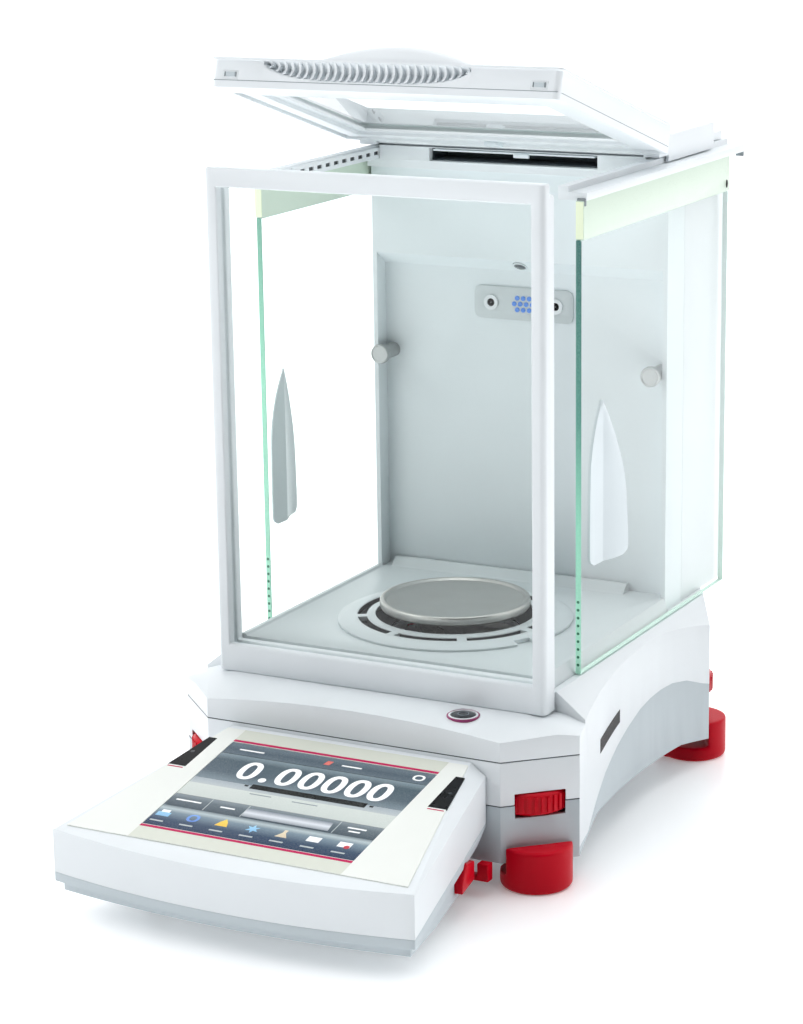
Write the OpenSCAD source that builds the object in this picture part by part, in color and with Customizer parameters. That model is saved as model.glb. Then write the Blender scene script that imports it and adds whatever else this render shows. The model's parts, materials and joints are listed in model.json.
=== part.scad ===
/* [Base] */
// Half width at the front corners of the base
base_corner_x = 112.5; // [110:0.5:116]
// Half width at the narrowest place of the base
base_waist_x = 97.5; // [97:0.5:99]
// Half width at the rear corners of the base
base_hip_x = 106.5; // [105:0.5:109]
// Depth of the deck in front of the draft shield
deck_depth = 29.4; // [28:0.2:31]
// Height of the ledge that the draft shield stands on
deck_z = 81.6; // [80:0.2:83]
// Height of the sill that the side doors run over
sill_z = 90.6; // [90:0.2:91]
// Wall thickness of the moulded shells
wall = 3; // [2:0.5:3.5]

/* [Draft shield] */
// Distance from the centre of the model to the front of the shield
shield_front_y = -53.05; // [-56:0.05:-50]
// Half width of the front frame
frame_half = 93.5; // [92:0.5:94]
// Height of the top of the front frame
frame_top_z = 343.2; // [340:0.2:345]
// Depth of the front frame
frame_depth = 13.2; // [12:0.2:14]
// Thickness of each pane of glass
glass_t = 3; // [2:0.5:3]
// Length of each side door
door_len = 195.5; // [190:0.5:198]
// How far the right door stands open
door_right_open = 29.4; // [0:0.2:60]
// How far the left door stands open
door_left_open = 36.6; // [0:0.2:60]
// Angle at which the lid stands open
lid_angle = 16.8; // [0:0.2:60]

/* [Weighing chamber] */
// Distance from the shield's front to the centre of the pan
pan_y = 88.7; // [84:0.1:94]
// Radius of the weighing pan
pan_r = 40; // [35:1:41]
// Height of the pan's upper face
pan_top_z = 109; // [107:0.5:112]
// Distance from the shield's front to the rear wall
wall_y = 166; // [165:0.5:167]

/* [Terminal] */
// Half width of the terminal at its front
terminal_half = 97.5; // [95:0.5:99]
// How far the terminal reaches in front of the shield
terminal_reach = 158; // [150:0.5:160]
// Tilt of the screen
screen_tilt = 9.66; // [8:0.1:11]
// Width of the screen
screen_w = 115.2; // [110:0.2:118]
// Height of the screen
screen_h = 86.4; // [80:0.2:88]

/* [Levelling] */
// Radius of each levelling wheel
wheel_r = 22; // [20:0.5:23]
// Radius of each foot
foot_r = 18; // [16:0.5:19]

/* [Hidden] */
$fn = 64;
gap = 0.3;
far = 400;

// Plan of the base: corner points and the unit normals of its straight sides
front_half = 82.9;
front_y = -deck_depth;
corner_y = -1.3;
waist_y = 119;
hip_y = 186;
rear_half = 85;
rear_y = 223.6;
front_n = unit([corner_y - front_y, front_half - base_corner_x]);
rear_n = unit([rear_y - hip_y, base_hip_x - rear_half]);
front_arc_r = arc_radius(base_corner_x - base_waist_x, waist_y - corner_y);
rear_arc_r = arc_radius(base_hip_x - base_waist_x, hip_y - waist_y);

// Seams of the base
upper_seam_z = 65.7;
lower_seam_z = 43;
seam_gap = 0.4;
crown_r = 676;
crown_z = 80.6;
bevel_start_x = 93.6;
bevel_slope = 0.8;
wave = [
    [corner_y, 17.3], [20, 17.3], [37, 27], [55, 36.5], [75, 44], [92, 49], [110, 53.5],
    [124, 55.5], [137, 56.5], [150, 56.5], [165, 54], [180, 48.5], [190, 45.5], [240, 42]
];
bottom = [
    [-40, 14], [-1, 12.5], [20, 15.8], [40, 20], [70, 19], [130, 18], [160, 18.5], [190, 14.5], [240, 14]
];
ledge_y = frame_depth + 0.1;

// Levelling wheels and feet
wheel_z = 37;
wheel_h = 11;
window_z = 36;
window_h = 12.5;
front_mid = [(front_half + base_corner_x) / 2, (front_y + corner_y) / 2];
rear_mid = [(rear_half + base_hip_x) / 2, (rear_y + hip_y) / 2];
front_wheel = front_mid - (wheel_r - 3) * front_n;
rear_wheel = rear_mid - (wheel_r - 5) * rear_n;
front_foot = [94.8, -13.8];
rear_foot = [91.1, 201.8];
stem_r = 4;
chassis_z = 48.6;
chassis_posts = [[50, -12, 15], [82, 60, 21], [82, 140, 20], [48, 206, 16]];
chassis_t = 4;

// Draft shield and tower
opening_half = 86.4;
opening_low = 96.2;
opening_top = 333.4;
glass_x = 90.3;
glass_low = 91.2;
glass_top = 311;
rail_z = 330;
door_front = ledge_y + 0.2;
tower_half = 88;
tower_seam_y = 189;
tower_rear_y = 254;
panel_top_z = 325;
tower_top_z = 329.4;
recess_y = 176;
hinge_y = 160;
hinge_z = 343;
head_top_z = 348.5;
lid_half = 95;
lid_front = 7.5;
lid_rear = 151;
lid_low = 337.6;
lid_top = 352.5;
lip_t = 1.2;
floor_z = 97.3;

// Terminal
screen_y = -89.4;
screen_z = 54.3;
terminal_rear_y = -30;
terminal_arc_r = 532;
step_drop = 4.8;
overlay_t = 0.6;
release_y = -65;

function unit(v) = v / norm(v);
function arc_radius(sagitta, half_chord) = (sagitta * sagitta + half_chord * half_chord) / (2 * sagitta);
// Corner where two straight sides meet once both have moved inwards by t
function corner_in(p, n1, n2, t) =
    let (det = n1.x * n2.y - n1.y * n2.x)
    p + [(-t * n2.y + t * n1.y) / det, (-t * n1.x + t * n2.x) / det];
function mirror_x(points) = [for (i = [len(points) - 1:-1:0]) [-points[i].x, points[i].y]];
function screen_plane_z(y) = screen_z + (y - screen_y) * tan(screen_tilt);

// Everything is drawn from the shield's front face, then centred on the model
module at_origin() {
    translate([0, shield_front_y, 0]) children();
}

module both_sides() {
    children();
    mirror([1, 0, 0]) children();
}

// A plate whose outline is given in Y and Z, spread along X
module side_profile(points, x_low, x_high) {
    translate([x_low, 0, 0]) rotate([90, 0, 90]) linear_extrude(x_high - x_low) polygon(points);
}

// A bar whose outline is given in X and Z, spread along Y
module front_profile(points, y_low, y_high) {
    translate([0, y_high, 0]) rotate([90, 0, 0]) linear_extrude(y_high - y_low) polygon(points);
}

module span_box(low, high) {
    translate(low) cube(high - low);
}

module rounded_plan(low, high, r) {
    translate([low.x + r, low.y]) square([high.x - low.x - 2 * r, high.y - low.y]);
    translate([low.x, low.y + r]) square([high.x - low.x, high.y - low.y - 2 * r]);
    for (x = [low.x + r, high.x - r]) {
        for (y = [low.y + r, high.y - r]) {
            translate([x, y]) circle(r);
        }
    }
}

// ---- Base -------------------------------------------------------------------------

module base_plan(t = 0) {
    right = [
        corner_in([front_half, front_y], [0, -1], front_n, t),
        corner_in([base_corner_x, corner_y], front_n, [1, 0], t),
        corner_in([base_hip_x, hip_y], [1, 0], rear_n, t),
        corner_in([rear_half, rear_y], rear_n, [0, 1], t)
    ];
    difference() {
        polygon(concat(right, mirror_x(right)));
        both_sides() {
            intersection() {
                translate([base_waist_x + front_arc_r, waist_y]) circle(front_arc_r + t, $fn = 360);
                translate([0, corner_y]) square([far, waist_y - corner_y]);
            }
            intersection() {
                translate([base_waist_x + rear_arc_r, waist_y]) circle(rear_arc_r + t, $fn = 360);
                translate([0, waist_y]) square([far, hip_y - waist_y]);
            }
        }
    }
}

module base_prism(t, z_low, z_high) {
    translate([0, 0, z_low]) linear_extrude(z_high - z_low) base_plan(t);
}

// The deck runs from a crowned front edge to a straight ledge under the front frame
module deck_roof() {
    steps = 14;
    half = 116;
    xs = [for (i = [0:steps]) -half + 2 * half * i / steps];
    front = [for (x = xs) [x, front_y - 1, crown_z - x * x / (2 * crown_r)]];
    back = [for (x = xs) [x, 0, deck_z - 0.33 * max(0, abs(x) - frame_half)]];
    ledge = [for (x = xs) [x, ledge_y, deck_z - 0.33 * max(0, abs(x) - frame_half)]];
    n = steps + 1;
    foot = [[-half, front_y - 1, 0], [half, front_y - 1, 0], [half, ledge_y, 0], [-half, ledge_y, 0]];
    points = concat(front, back, ledge, foot);
    f = 3 * n;
    faces = concat(
        [for (r = [0:1]) for (i = [0:steps - 1]) [r * n + i, (r + 1) * n + i, r * n + i + 1]],
        [for (r = [0:1]) for (i = [0:steps - 1]) [(r + 1) * n + i, (r + 1) * n + i + 1, r * n + i + 1]],
        [[f, f + 1, f + 2, f + 3]],
        [concat([f + 1, f], [for (i = [0:steps]) i])],
        [concat([f + 3, f + 2], [for (i = [steps:-1:0]) 2 * n + i])],
        [[f, f + 3, 2 * n, n, 0]],
        [[f + 2, f + 1, n - 1, 2 * n - 1, 3 * n - 1]]
    );
    polyhedron(points, faces);
}

// The top behind the ledge: a level sill, then a bevel down to the sides
module bevel_roof() {
    low = sill_z - bevel_slope * (120 - bevel_start_x);
    front_profile([
        [-120, 0], [120, 0], [120, low], [bevel_start_x, sill_z], [-bevel_start_x, sill_z], [-120, low]
    ], ledge_y, 230);
}

module base_roof() {
    deck_roof();
    bevel_roof();
}

module base_cavity() {
    base_prism(wall, -1, deck_z - 9);
    intersection() {
        base_prism(wall + 14, deck_z - 10, sill_z - wall);
        span_box([-far, ledge_y + wall, 0], [far, far, far]);
    }
}

// A slot in each cut-off corner that the rim of the levelling wheel looks out of
module wheel_windows() {
    both_sides() {
        for (w = [front_wheel, rear_wheel]) {
            translate([w.x, w.y, window_z]) cylinder(r = wheel_r + 1, h = window_h);
        }
    }
}

module window_slant() {
    side_profile([[45.5, 50], [79, 56], [79, 62.8], [45.5, 57.4]], 60, 130);
}

module base_top_cover() {
    color("whitesmoke") at_origin() difference() {
        intersection() {
            base_prism(0, 0, 100);
            base_roof();
            side_profile(concat(
                [[-40, 110], [-40, upper_seam_z], [corner_y, upper_seam_z]],
                wave, [[240, 110]]
            ), -far, far);
        }
        base_cavity();
        wheel_windows();
        intersection() {
            window_slant();
            difference() {
                base_prism(-1, 0, 100);
                base_prism(1.5, -1, 101);
            }
        }
        translate([54, -11, 60]) cylinder(r = 8.3, h = 40);
        translate([0, pan_y, 60]) cylinder(r = 34, h = 60);
        span_box([-46, rear_y - 10, 52], [46, rear_y + 10, 76]);
    }
}

module base_front_band() {
    color("whitesmoke") at_origin() difference() {
        intersection() {
            base_prism(0, lower_seam_z, upper_seam_z - seam_gap);
            span_box([-far, -far, 0], [far, corner_y, far]);
        }
        base_cavity();
        wheel_windows();
    }
}

module above_floor() {
    intersection() {
        base_prism(wall, 0, 100);
        translate([0, 0, wall]) side_profile(concat(bottom, [[240, 120], [-40, 120]]), -far, far);
    }
}

module base_lower_housing() {
    color("lightsteelblue") at_origin() difference() {
        union() {
            difference() {
                intersection() {
                    base_prism(0, 0, 100);
                    side_profile(concat(
                        bottom, [for (i = [len(wave) - 1:-1:0]) wave[i]],
                        [[corner_y, lower_seam_z - seam_gap], [-40, lower_seam_z - seam_gap]]
                    ), -far, far);
                }
                above_floor();
                wheel_windows();
            }
            both_sides() {
                for (p = chassis_posts) {
                    translate(p) cylinder(r = 4.5, h = chassis_z - p.z);
                }
            }
        }
        both_sides() {
            for (w = [front_wheel, rear_wheel]) {
                translate([w.x, w.y, 0]) cylinder(r = stem_r + 1, h = 30);
            }
        }
    }
}

module chassis_plate() {
    color("silver") at_origin() difference() {
        span_box([-88, -15, chassis_z], [88, 208, chassis_z + chassis_t]);
        both_sides() {
            for (w = [front_wheel, rear_wheel]) {
                translate([w.x, w.y, 0]) cylinder(r = stem_r + 0.6, h = 80);
            }
        }
    }
}

module chassis_screws() {
    color("gray") at_origin() both_sides() {
        for (p = chassis_posts) {
            translate([p.x, p.y, chassis_z + chassis_t]) cylinder(r = 3.5, h = 2.4);
        }
    }
}

// A one-piece force cell: a block cut into two thin parallel arms
module load_cell() {
    color("gainsboro") at_origin() {
        z = chassis_z + chassis_t;
        difference() {
            span_box([-17, pan_y - 14, z], [17, pan_y + 76, z + 26]);
            span_box([-18, pan_y - 15, z - 1], [18, pan_y + 40, z + 3]);
            span_box([-18, pan_y + 2, z + 6], [18, pan_y + 40, z + 20]);
            for (x = [-9, 9]) {
                translate([x, pan_y + 66, z]) cylinder(r = 2.5, h = 40);
            }
        }
        translate([0, pan_y, z + 26]) cylinder(r = 6, h = 93 - z - 26);
    }
}

module calibration_weight() {
    color("silver") at_origin() {
        both_sides() {
            translate([34, pan_y + 30, chassis_z + chassis_t + 0.4]) cylinder(r = 11, h = 25.6);
        }
        span_box([-34, pan_y + 45, chassis_z + chassis_t + 27.5], [34, pan_y + 51, chassis_z + chassis_t + 30.5]);
        both_sides() {
            span_box([30, pan_y + 28, chassis_z + chassis_t + 26], [36, pan_y + 51, chassis_z + chassis_t + 30.5]);
        }
    }
}

module main_board() {
    color("darkgreen") at_origin() {
        span_box([-60, 35, 30], [60, 125, 31.6]);
        span_box([-40, 50, 31.6], [-22, 68, 34]);
        span_box([0, 60, 31.6], [30, 75, 36]);
        span_box([-50, 95, 31.6], [-20, 118, 42]);
        for (x = [-54, 54]) {
            translate([x, 40, 23]) cylinder(r = 3, h = 7);
            translate([x, 120, 21.3]) cylinder(r = 3, h = 8.7);
        }
    }
}

module rear_port_panel() {
    color("dimgray") at_origin() difference() {
        span_box([-46, rear_y - wall, 52], [46, rear_y, 76]);
        translate([-34, rear_y + 1, 63]) rotate([90, 0, 0]) cylinder(r = 6.1, h = 10);
        span_box([-22, rear_y - 9, 58], [-6, rear_y + 1, 68]);
        span_box([2, rear_y - 9, 57], [18, rear_y + 1, 70]);
        span_box([26, rear_y - 9, 60], [40, rear_y + 1, 66]);
    }
}

module power_inlet() {
    color("black") at_origin() translate([-34, rear_y - 1, 63]) rotate([90, 0, 0]) {
        difference() {
            cylinder(r = 6, h = 14);
            translate([0, 0, -1]) cylinder(r = 3.6, h = 11);
        }
        cylinder(r = 1, h = 12);
    }
}

module side_window() {
    color("black") at_origin() intersection() {
        window_slant();
        difference() {
            base_prism(-0.2, 0, 100);
            base_prism(1.5, -1, 101);
        }
    }
}

module bubble_bezel() {
    color("mediumvioletred") at_origin() translate([54, -11, 72]) difference() {
        cylinder(r = 8.3, h = 8.6);
        translate([0, 0, -1]) cylinder(r = 6.5, h = 20);
    }
}

module bubble_vial() {
    color("black") at_origin() translate([54, -11, 72]) cylinder(r = 6.5, h = 8.3);
}

// ---- Weighing chamber ---------------------------------------------------------------

module chamber_tray() {
    color("lightgray") at_origin() difference() {
        union() {
            front_profile([
                [-90, sill_z], [90, sill_z], [90, sill_z + 0.9], [87.4, floor_z + 1.2],
                [85, floor_z + 1.2], [84, floor_z], [-84, floor_z], [-85, floor_z + 1.2],
                [-87.4, floor_z + 1.2], [-90, sill_z + 0.9]
            ], ledge_y + 0.1, wall_y - 0.2);
            span_box([-85, wall_y - 0.2, sill_z], [85, recess_y - 0.2, floor_z]);
            side_profile([
                [wall_y + 1, floor_z], [wall_y + 9, floor_z], [wall_y + 9, floor_z + 4.5],
                [wall_y + 6, floor_z + 4.5]
            ], -80, 63);
        }
        translate([0, pan_y, 0]) cylinder(r = 56, h = 200);
    }
}

module draft_ring() {
    color("gainsboro") at_origin() translate([0, pan_y, floor_z]) difference() {
        rotate_extrude() polygon([
            [42.4, 2.2], [44, 0], [62.5, 0], [62.5, 1.2], [57, 2.7], [45, 3], [42.4, 3.6]
        ]);
        difference() {
            translate([0, 0, -1]) cylinder(r = 52, h = 10);
            translate([0, 0, -1]) cylinder(r = 47, h = 10);
            for (a = [22.5:45:337.5]) {
                rotate([0, 0, a + 8]) translate([40, -2.5, -1]) cube([20, 5, 10]);
            }
        }
        rotate([0, 0, -28]) translate([58.5, -5, -1]) cube([10, 10, 10]);
    }
}

module weighing_pan() {
    color("silver") at_origin() translate([0, pan_y, pan_top_z]) rotate_extrude() polygon([
        [0, -2.4], [36.5, -2.4], [38, -5], [39.3, -5], [pan_r, -3.6], [pan_r, -0.7], [39.4, 0],
        [37.6, 0], [36.4, -1.2], [0, -1.2]
    ]);
}

module pan_support() {
    color("gray") at_origin() translate([0, pan_y, 93]) rotate_extrude() polygon([
        [0, 0], [9, 0], [9, 3], [6, 6], [6, 11], [24, 12.4], [24, 13.6], [0, 13.6]
    ]);
}

// ---- Draft shield ---------------------------------------------------------------------

module front_pane() {
    span_box([-opening_half - 2, 5, opening_low - 2], [opening_half + 2, 5 + glass_t, opening_top + 2]);
}

module front_frame() {
    color("whitesmoke") at_origin() difference() {
        translate([0, 0, deck_z]) linear_extrude(frame_top_z - deck_z) {
            rounded_plan([-frame_half, 0], [frame_half, frame_depth], 3);
        }
        span_box([-opening_half, -1, opening_low], [opening_half, 20, opening_top]);
        front_pane();
        span_box([-far, lid_front - 0.8, lid_low - 0.4], [far, 20, far]);
    }
}

module front_glass() {
    color("paleturquoise", 0.4) at_origin() front_pane();
}

module rear_wall_panel() {
    color("whitesmoke") at_origin() difference() {
        span_box([-tower_half, wall_y, sill_z], [tower_half, tower_seam_y, panel_top_z]);
        side_profile([
            [wall_y - 1, sill_z - 1], [recess_y, sill_z - 1], [recess_y, 270], [wall_y, 277], [wall_y - 1, 277]
        ], -85.3, 85.3);
        side_profile([
            [tower_seam_y + 1, sill_z + 3], [recess_y + wall, sill_z + 3], [recess_y + wall, 271],
            [wall_y + wall, 278.5], [wall_y + wall, panel_top_z - 3], [tower_seam_y + 1, panel_top_z - 3]
        ], -85.3, 85.3);
        translate([0, recess_y - 1, 0]) ionizer_hole();
        translate([0, 171, 266]) cylinder(r = 4, h = 12);
        both_sides() {
            translate([81, recess_y - 1, 221]) rotate([-90, 0, 0]) cylinder(r = 4.06, h = 10);
        }
    }
}

module ionizer_hole() {
    translate([-29, 0, 244]) cube([58, 10, 16]);
}

module tower_cover() {
    color("whitesmoke") at_origin() difference() {
        union() {
            translate([0, 0, sill_z]) linear_extrude(tower_top_z - sill_z) union() {
                rounded_plan([-tower_half, tower_seam_y + 20], [tower_half, tower_rear_y], 9);
                translate([-tower_half, tower_seam_y + 0.2]) square([2 * tower_half, 45]);
            }
        }
        span_box(
            [-tower_half + wall, tower_seam_y - 1, sill_z + wall],
            [tower_half - wall, tower_rear_y - wall, tower_top_z - wall]
        );
        for (i = [0:7]) {
            span_box([-40, tower_rear_y - 10, 262 + 6 * i], [40, tower_rear_y + 1, 265 + 6 * i]);
        }
    }
}

module tower_screws() {
    color("gray") at_origin() both_sides() {
        for (z = [110, 240]) {
            translate([70, tower_rear_y + 1.2, z]) rotate([90, 0, 0]) cylinder(r = 3.4, h = 1.2);
        }
    }
}

module head_housing() {
    color("whitesmoke") at_origin() difference() {
        union() {
            span_box([-87.6, 161, panel_top_z + 0.1], [87.6, tower_seam_y, tower_top_z]);
            span_box([-78.4, 158, tower_top_z], [78.4, 252, 337.4]);
            span_box([-tower_half, 166, 337.4], [tower_half, 230, head_top_z]);
            span_box([-84, 230, 337.4], [84, 252, 341.5]);
            both_sides() {
                span_box([86.3, 166, 334.6], [tower_half, 230, 337.4]);
                span_box([79, 153.5, 338], [tower_half, 166, 348]);
            }
        }
        span_box([-48, 157, 330], [51, 182, 337]);
        span_box([-76, 190, 332.4], [76, 249, 339]);
        span_box([-80, 170, 339.5], [80, 227, head_top_z - wall]);
        both_sides() {
            translate([76, hinge_y, hinge_z]) rotate([0, 90, 0]) cylinder(r = 2.5, h = 9);
        }
    }
}

module hinge_pins() {
    color("silver") at_origin() both_sides() {
        translate([68, hinge_y, hinge_z]) rotate([0, 90, 0]) cylinder(r = 2.5, h = 17);
    }
}

module chamber_light() {
    color("ivory") at_origin() translate([0, 171, 272.4]) cylinder(r = 3.9, h = 5.6);
}

module ionizer_panel() {
    color("gainsboro") at_origin() difference() {
        union() {
            span_box([-29, recess_y, 244], [29, recess_y + 2.5, 260]);
            translate([0, recess_y, 252]) rotate([90, 0, 0]) linear_extrude(1.2) {
                rounded_plan([-29.5, -9], [29.5, 9], 4);
            }
        }
        for (x = [-19.4, 19.4]) {
            translate([x, recess_y + 3, 252]) rotate([90, 0, 0]) cylinder(r = 4.2, h = 10);
        }
    }
}

module ionizer_nozzles() {
    color("white") at_origin() for (x = [-19.4, 19.4]) {
        translate([x, recess_y - 2, 252]) rotate([-90, 0, 0]) difference() {
            cylinder(r = 4.2, h = 4.5);
            translate([0, 0, -1]) cylinder(r = 2.2, h = 4.5);
        }
    }
}

module ionizer_indicator() {
    color("royalblue") at_origin() for (row = [-1:1]) {
        for (i = [0:2 + (1 - abs(row))]) {
            translate([(i - (2 + (1 - abs(row))) / 2) * 3.6, recess_y - 1.2, 252 + row * 3.2]) {
                rotate([90, 0, 0]) cylinder(r = 1.3, h = 0.5);
            }
        }
    }
}

module thumbscrew() {
    color("silver") at_origin() translate([81, 158.7, 221]) rotate([-90, 0, 0]) {
        cylinder(r = 5.5, h = 4);
        cylinder(r = 4, h = recess_y + wall - 158.7 + 1);
    }
}

module thumbscrew_left() {
    mirror([1, 0, 0]) thumbscrew();
}

module thumbscrew_right() {
    thumbscrew();
}

// ---- Lid: drawn closed, then turned about the hinge -----------------------------------

module opened() {
    at_origin() translate([0, hinge_y, hinge_z]) rotate([-lid_angle, 0, 0]) {
        translate([0, -hinge_y, -hinge_z]) children();
    }
}

module lid_pane() {
    span_box([-78, 22, 341.5], [78, 138, 344.5]);
}

module lid_grip_slot() {
    span_box([-66, lid_front, 342], [48, lid_front + 7, lid_top - lip_t]);
}

// The lid's outer block, with a thin top plate that stands proud of its front and sides
module lid_block() {
    translate([0, 0, lid_low]) linear_extrude(lid_top - lid_low) {
        rounded_plan([-lid_half, lid_front], [lid_half, lid_rear], 3);
    }
    translate([0, 0, lid_top - lip_t]) linear_extrude(lip_t) {
        rounded_plan([-lid_half - lip_t, lid_front - lip_t], [lid_half + lip_t, lid_rear - 6], 3);
    }
}

module lid_frame() {
    color("whitesmoke") opened() difference() {
        union() {
            difference() {
                lid_block();
                span_box([-74, 26, lid_low - 1], [74, 134, lid_top + 1]);
                lid_pane();
                span_box([-lid_half + wall, lid_front + 16, lid_low - 1], [lid_half - wall, lid_rear - 4, lid_low + 2.5]);
                lid_grip_slot();
            }
            intersection() {
                translate([6, lid_front + 7.2, lid_top - 98]) rotate([-90, 0, 0]) cylinder(r = 104, h = 9, $fn = 180);
                span_box([-45, lid_front, lid_top - 1], [57, lid_front + 20, lid_top + 10]);
            }
            span_box([-76, lid_rear, 340.5], [76, hinge_y - 3, 345.5]);
            translate([-78, hinge_y, hinge_z]) rotate([0, 90, 0]) cylinder(r = 4.8, h = 156);
        }
        both_sides() {
            translate([67.5, hinge_y, hinge_z]) rotate([0, 90, 0]) cylinder(r = 2.56, h = 12);
        }
        both_sides() {
            span_box([80, lid_front - 1, 342], [89, lid_front + 1.5, 346]);
        }
    }
}

module lid_glass() {
    color("paleturquoise", 0.4) opened() lid_pane();
}

module lid_grip() {
    color("gainsboro") opened() difference() {
        lid_grip_slot();
        for (i = [0:27]) {
            span_box([-64 + 4 * i, lid_front - 1, 344], [-62 + 4 * i, lid_front + 5, lid_top + 1]);
        }
    }
}

module lid_latches() {
    color("gray") opened() both_sides() {
        span_box([80, lid_front + 0.4, 342], [89, lid_front + 1.5, 346]);
    }
}

// ---- Side doors: drawn closed on the right ----------------------------------------------

module door_glass() {
    color("paleturquoise", 0.4) {
        span_box([glass_x, door_front, glass_low], [glass_x + glass_t, door_front + door_len, glass_top]);
    }
}

module door_hanger() {
    color("honeydew") {
        span_box([glass_x - 0.4, door_front + 0.6, glass_top], [94.4, door_front + door_len - 0.6, rail_z]);
    }
}

module door_rail() {
    color("whitesmoke") {
        front_profile([
            [80, rail_z], [95.2, rail_z], [95.2, rail_z + 3.8], [85.5, rail_z + 3.8],
            [85.5, rail_z + 6.8], [80, rail_z + 6.8]
        ], door_front + 2, door_front + 214);
        difference() {
            span_box([78.9, door_front + 14, rail_z], [80, door_front + 180, rail_z + 6]);
            for (i = [0:13]) {
                span_box([78, door_front + 22 + 9 * i, rail_z + 2], [80, door_front + 27 + 9 * i, rail_z + 4]);
            }
        }
    }
}

// A folded sail: one leaf lies on the pane, the other stands out and trails back
module door_handle() {
    leaf_t = 1.2;
    color("white") translate([glass_x + glass_t, door_front + 24.6, 0]) {
        side_profile([
            [0.5, 144.5], [0.5, 227], [-4, 222], [-9, 213.5], [-12.6, 204], [-14.4, 193], [-15, 150],
            [-14, 146], [-11, 144.5]
        ], 0, leaf_t);
        translate([0.85, 0, 0]) rotate([0, 0, -15.5]) side_profile([
            [-3, 145], [17, 145], [19.8, 146.4], [21, 149.5], [20.2, 165], [17.7, 187], [14.8, 197.5],
            [11, 206], [1, 226], [-3, 219]
        ], 0, leaf_t);
    }
}

module right_door() {
    at_origin() translate([0, door_right_open, 0]) children();
}

module left_door() {
    at_origin() translate([0, door_left_open, 0]) mirror([1, 0, 0]) children();
}

module door_left_glass() {
    left_door() door_glass();
}

module door_left_hanger() {
    left_door() door_hanger();
}

module door_left_rail() {
    left_door() door_rail();
}

module door_left_handle() {
    left_door() door_handle();
}

module door_right_glass() {
    right_door() door_glass();
}

module door_right_hanger() {
    right_door() door_hanger();
}

module door_right_rail() {
    right_door() door_rail();
}

module door_right_handle() {
    right_door() door_handle();
}

// ---- Levelling wheels and feet -----------------------------------------------------------

module level_wheel(at) {
    ribs = 40;
    color("crimson") at_origin() translate([at.x, at.y, wheel_z]) difference() {
        union() {
            rotate_extrude() polygon([
                [0, 0], [wheel_r - 2, 0], [wheel_r - 0.8, 1.2], [wheel_r - 0.8, wheel_h - 1.2],
                [wheel_r - 2, wheel_h], [0, wheel_h]
            ]);
            for (i = [0:ribs - 1]) {
                rotate([0, 0, 360 * i / ribs]) translate([wheel_r - 3, -0.8, 1.5]) cube([3, 1.6, wheel_h - 3]);
            }
        }
        translate([0, 0, -1]) cylinder(r = stem_r + 0.06, h = 30);
    }
}

module foot(pad, stem) {
    color("crimson") at_origin() {
        translate([pad.x, pad.y, 0]) rotate_extrude() polygon([
            [0, 0], [foot_r - 1.5, 0], [foot_r, 1.5], [foot_r, 8], [0, 8]
        ]);
        translate([stem.x, stem.y, 0]) cylinder(r = 9, h = 8);
        translate([stem.x, stem.y, 8]) cylinder(r = stem_r, h = 52);
        difference() {
            translate([pad.x, pad.y, 8]) cylinder(r = foot_r, h = 14);
            base_prism(-0.8, 0, 100);
        }
    }
}

module level_wheel_front_left() {
    mirror([1, 0, 0]) level_wheel(front_wheel);
}

module level_wheel_front_right() {
    level_wheel(front_wheel);
}

module level_wheel_rear_left() {
    mirror([1, 0, 0]) level_wheel(rear_wheel);
}

module level_wheel_rear_right() {
    level_wheel(rear_wheel);
}

module foot_front_left() {
    mirror([1, 0, 0]) foot(front_foot, front_wheel);
}

module foot_front_right() {
    foot(front_foot, front_wheel);
}

module foot_rear_left() {
    mirror([1, 0, 0]) foot(rear_foot, rear_wheel);
}

module foot_rear_right() {
    foot(rear_foot, rear_wheel);
}

// ---- Terminal -------------------------------------------------------------------------------

// Half widths and bevel depth of the terminal at a distance y along it
function side_half(y) = terminal_half - 0.187 * (y + 148);
function overlay_half(y) = 93 - 0.2143 * (y + 150);
function seam_z(y) = 21.5 + 0.104 * (y + 150);
function bevel_drop(y) = 0.1 + 5.7 * (y + 162) / 132;

function terminal_section(y, inset) =
    let (s = side_half(y) - inset, o = overlay_half(y) - inset)
    let (z = screen_plane_z(y) - overlay_t / cos(screen_tilt))
    [
        [-s, y, 0], [s, y, 0], [s, y, z - bevel_drop(y)], [o, y, z], [-o, y, z],
        [-s, y, z - bevel_drop(y)]
    ];

module terminal_solid(profile, inset = 0) {
    front = -terminal_reach - 4;
    points = concat(terminal_section(front, inset), terminal_section(terminal_rear_y + 5, inset));
    faces = concat(
        [[0, 1, 2, 3, 4, 5], [11, 10, 9, 8, 7, 6]],
        [for (i = [0:5]) [i, 6 + i, (i + 1) % 6]],
        [for (i = [0:5]) [6 + i, 6 + (i + 1) % 6, (i + 1) % 6]]
    );
    intersection() {
        hull() polyhedron(points, faces);
        translate([0, -terminal_reach + terminal_arc_r, 0]) cylinder(r = terminal_arc_r - inset, h = 100, $fn = 360);
        side_profile(profile, -120, 120);
    }
}

module terminal_cavity() {
    side_profile([
        [-148, 14], [-54, 14], [-48, 30], [terminal_rear_y - 3, 36],
        [terminal_rear_y - 3, screen_plane_z(terminal_rear_y - 3) - 9], [-148, screen_plane_z(-148) - 5]
    ], -68, 68);
}

module on_screen_plane() {
    translate([0, screen_y, screen_z]) rotate([screen_tilt, 0, 0]) children();
}

module display_block(t_low, t_high, grow = 0) {
    translate([-screen_w / 2 - grow, -screen_h / 2 - grow, t_low]) {
        cube([screen_w + 2 * grow, screen_h + 2 * grow, t_high - t_low]);
    }
}

module sensor_plan() {
    both_sides() {
        polygon([[67.2, 44], [72, 44], [77.5, 13], [67.4, 13]]);
    }
}

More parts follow.
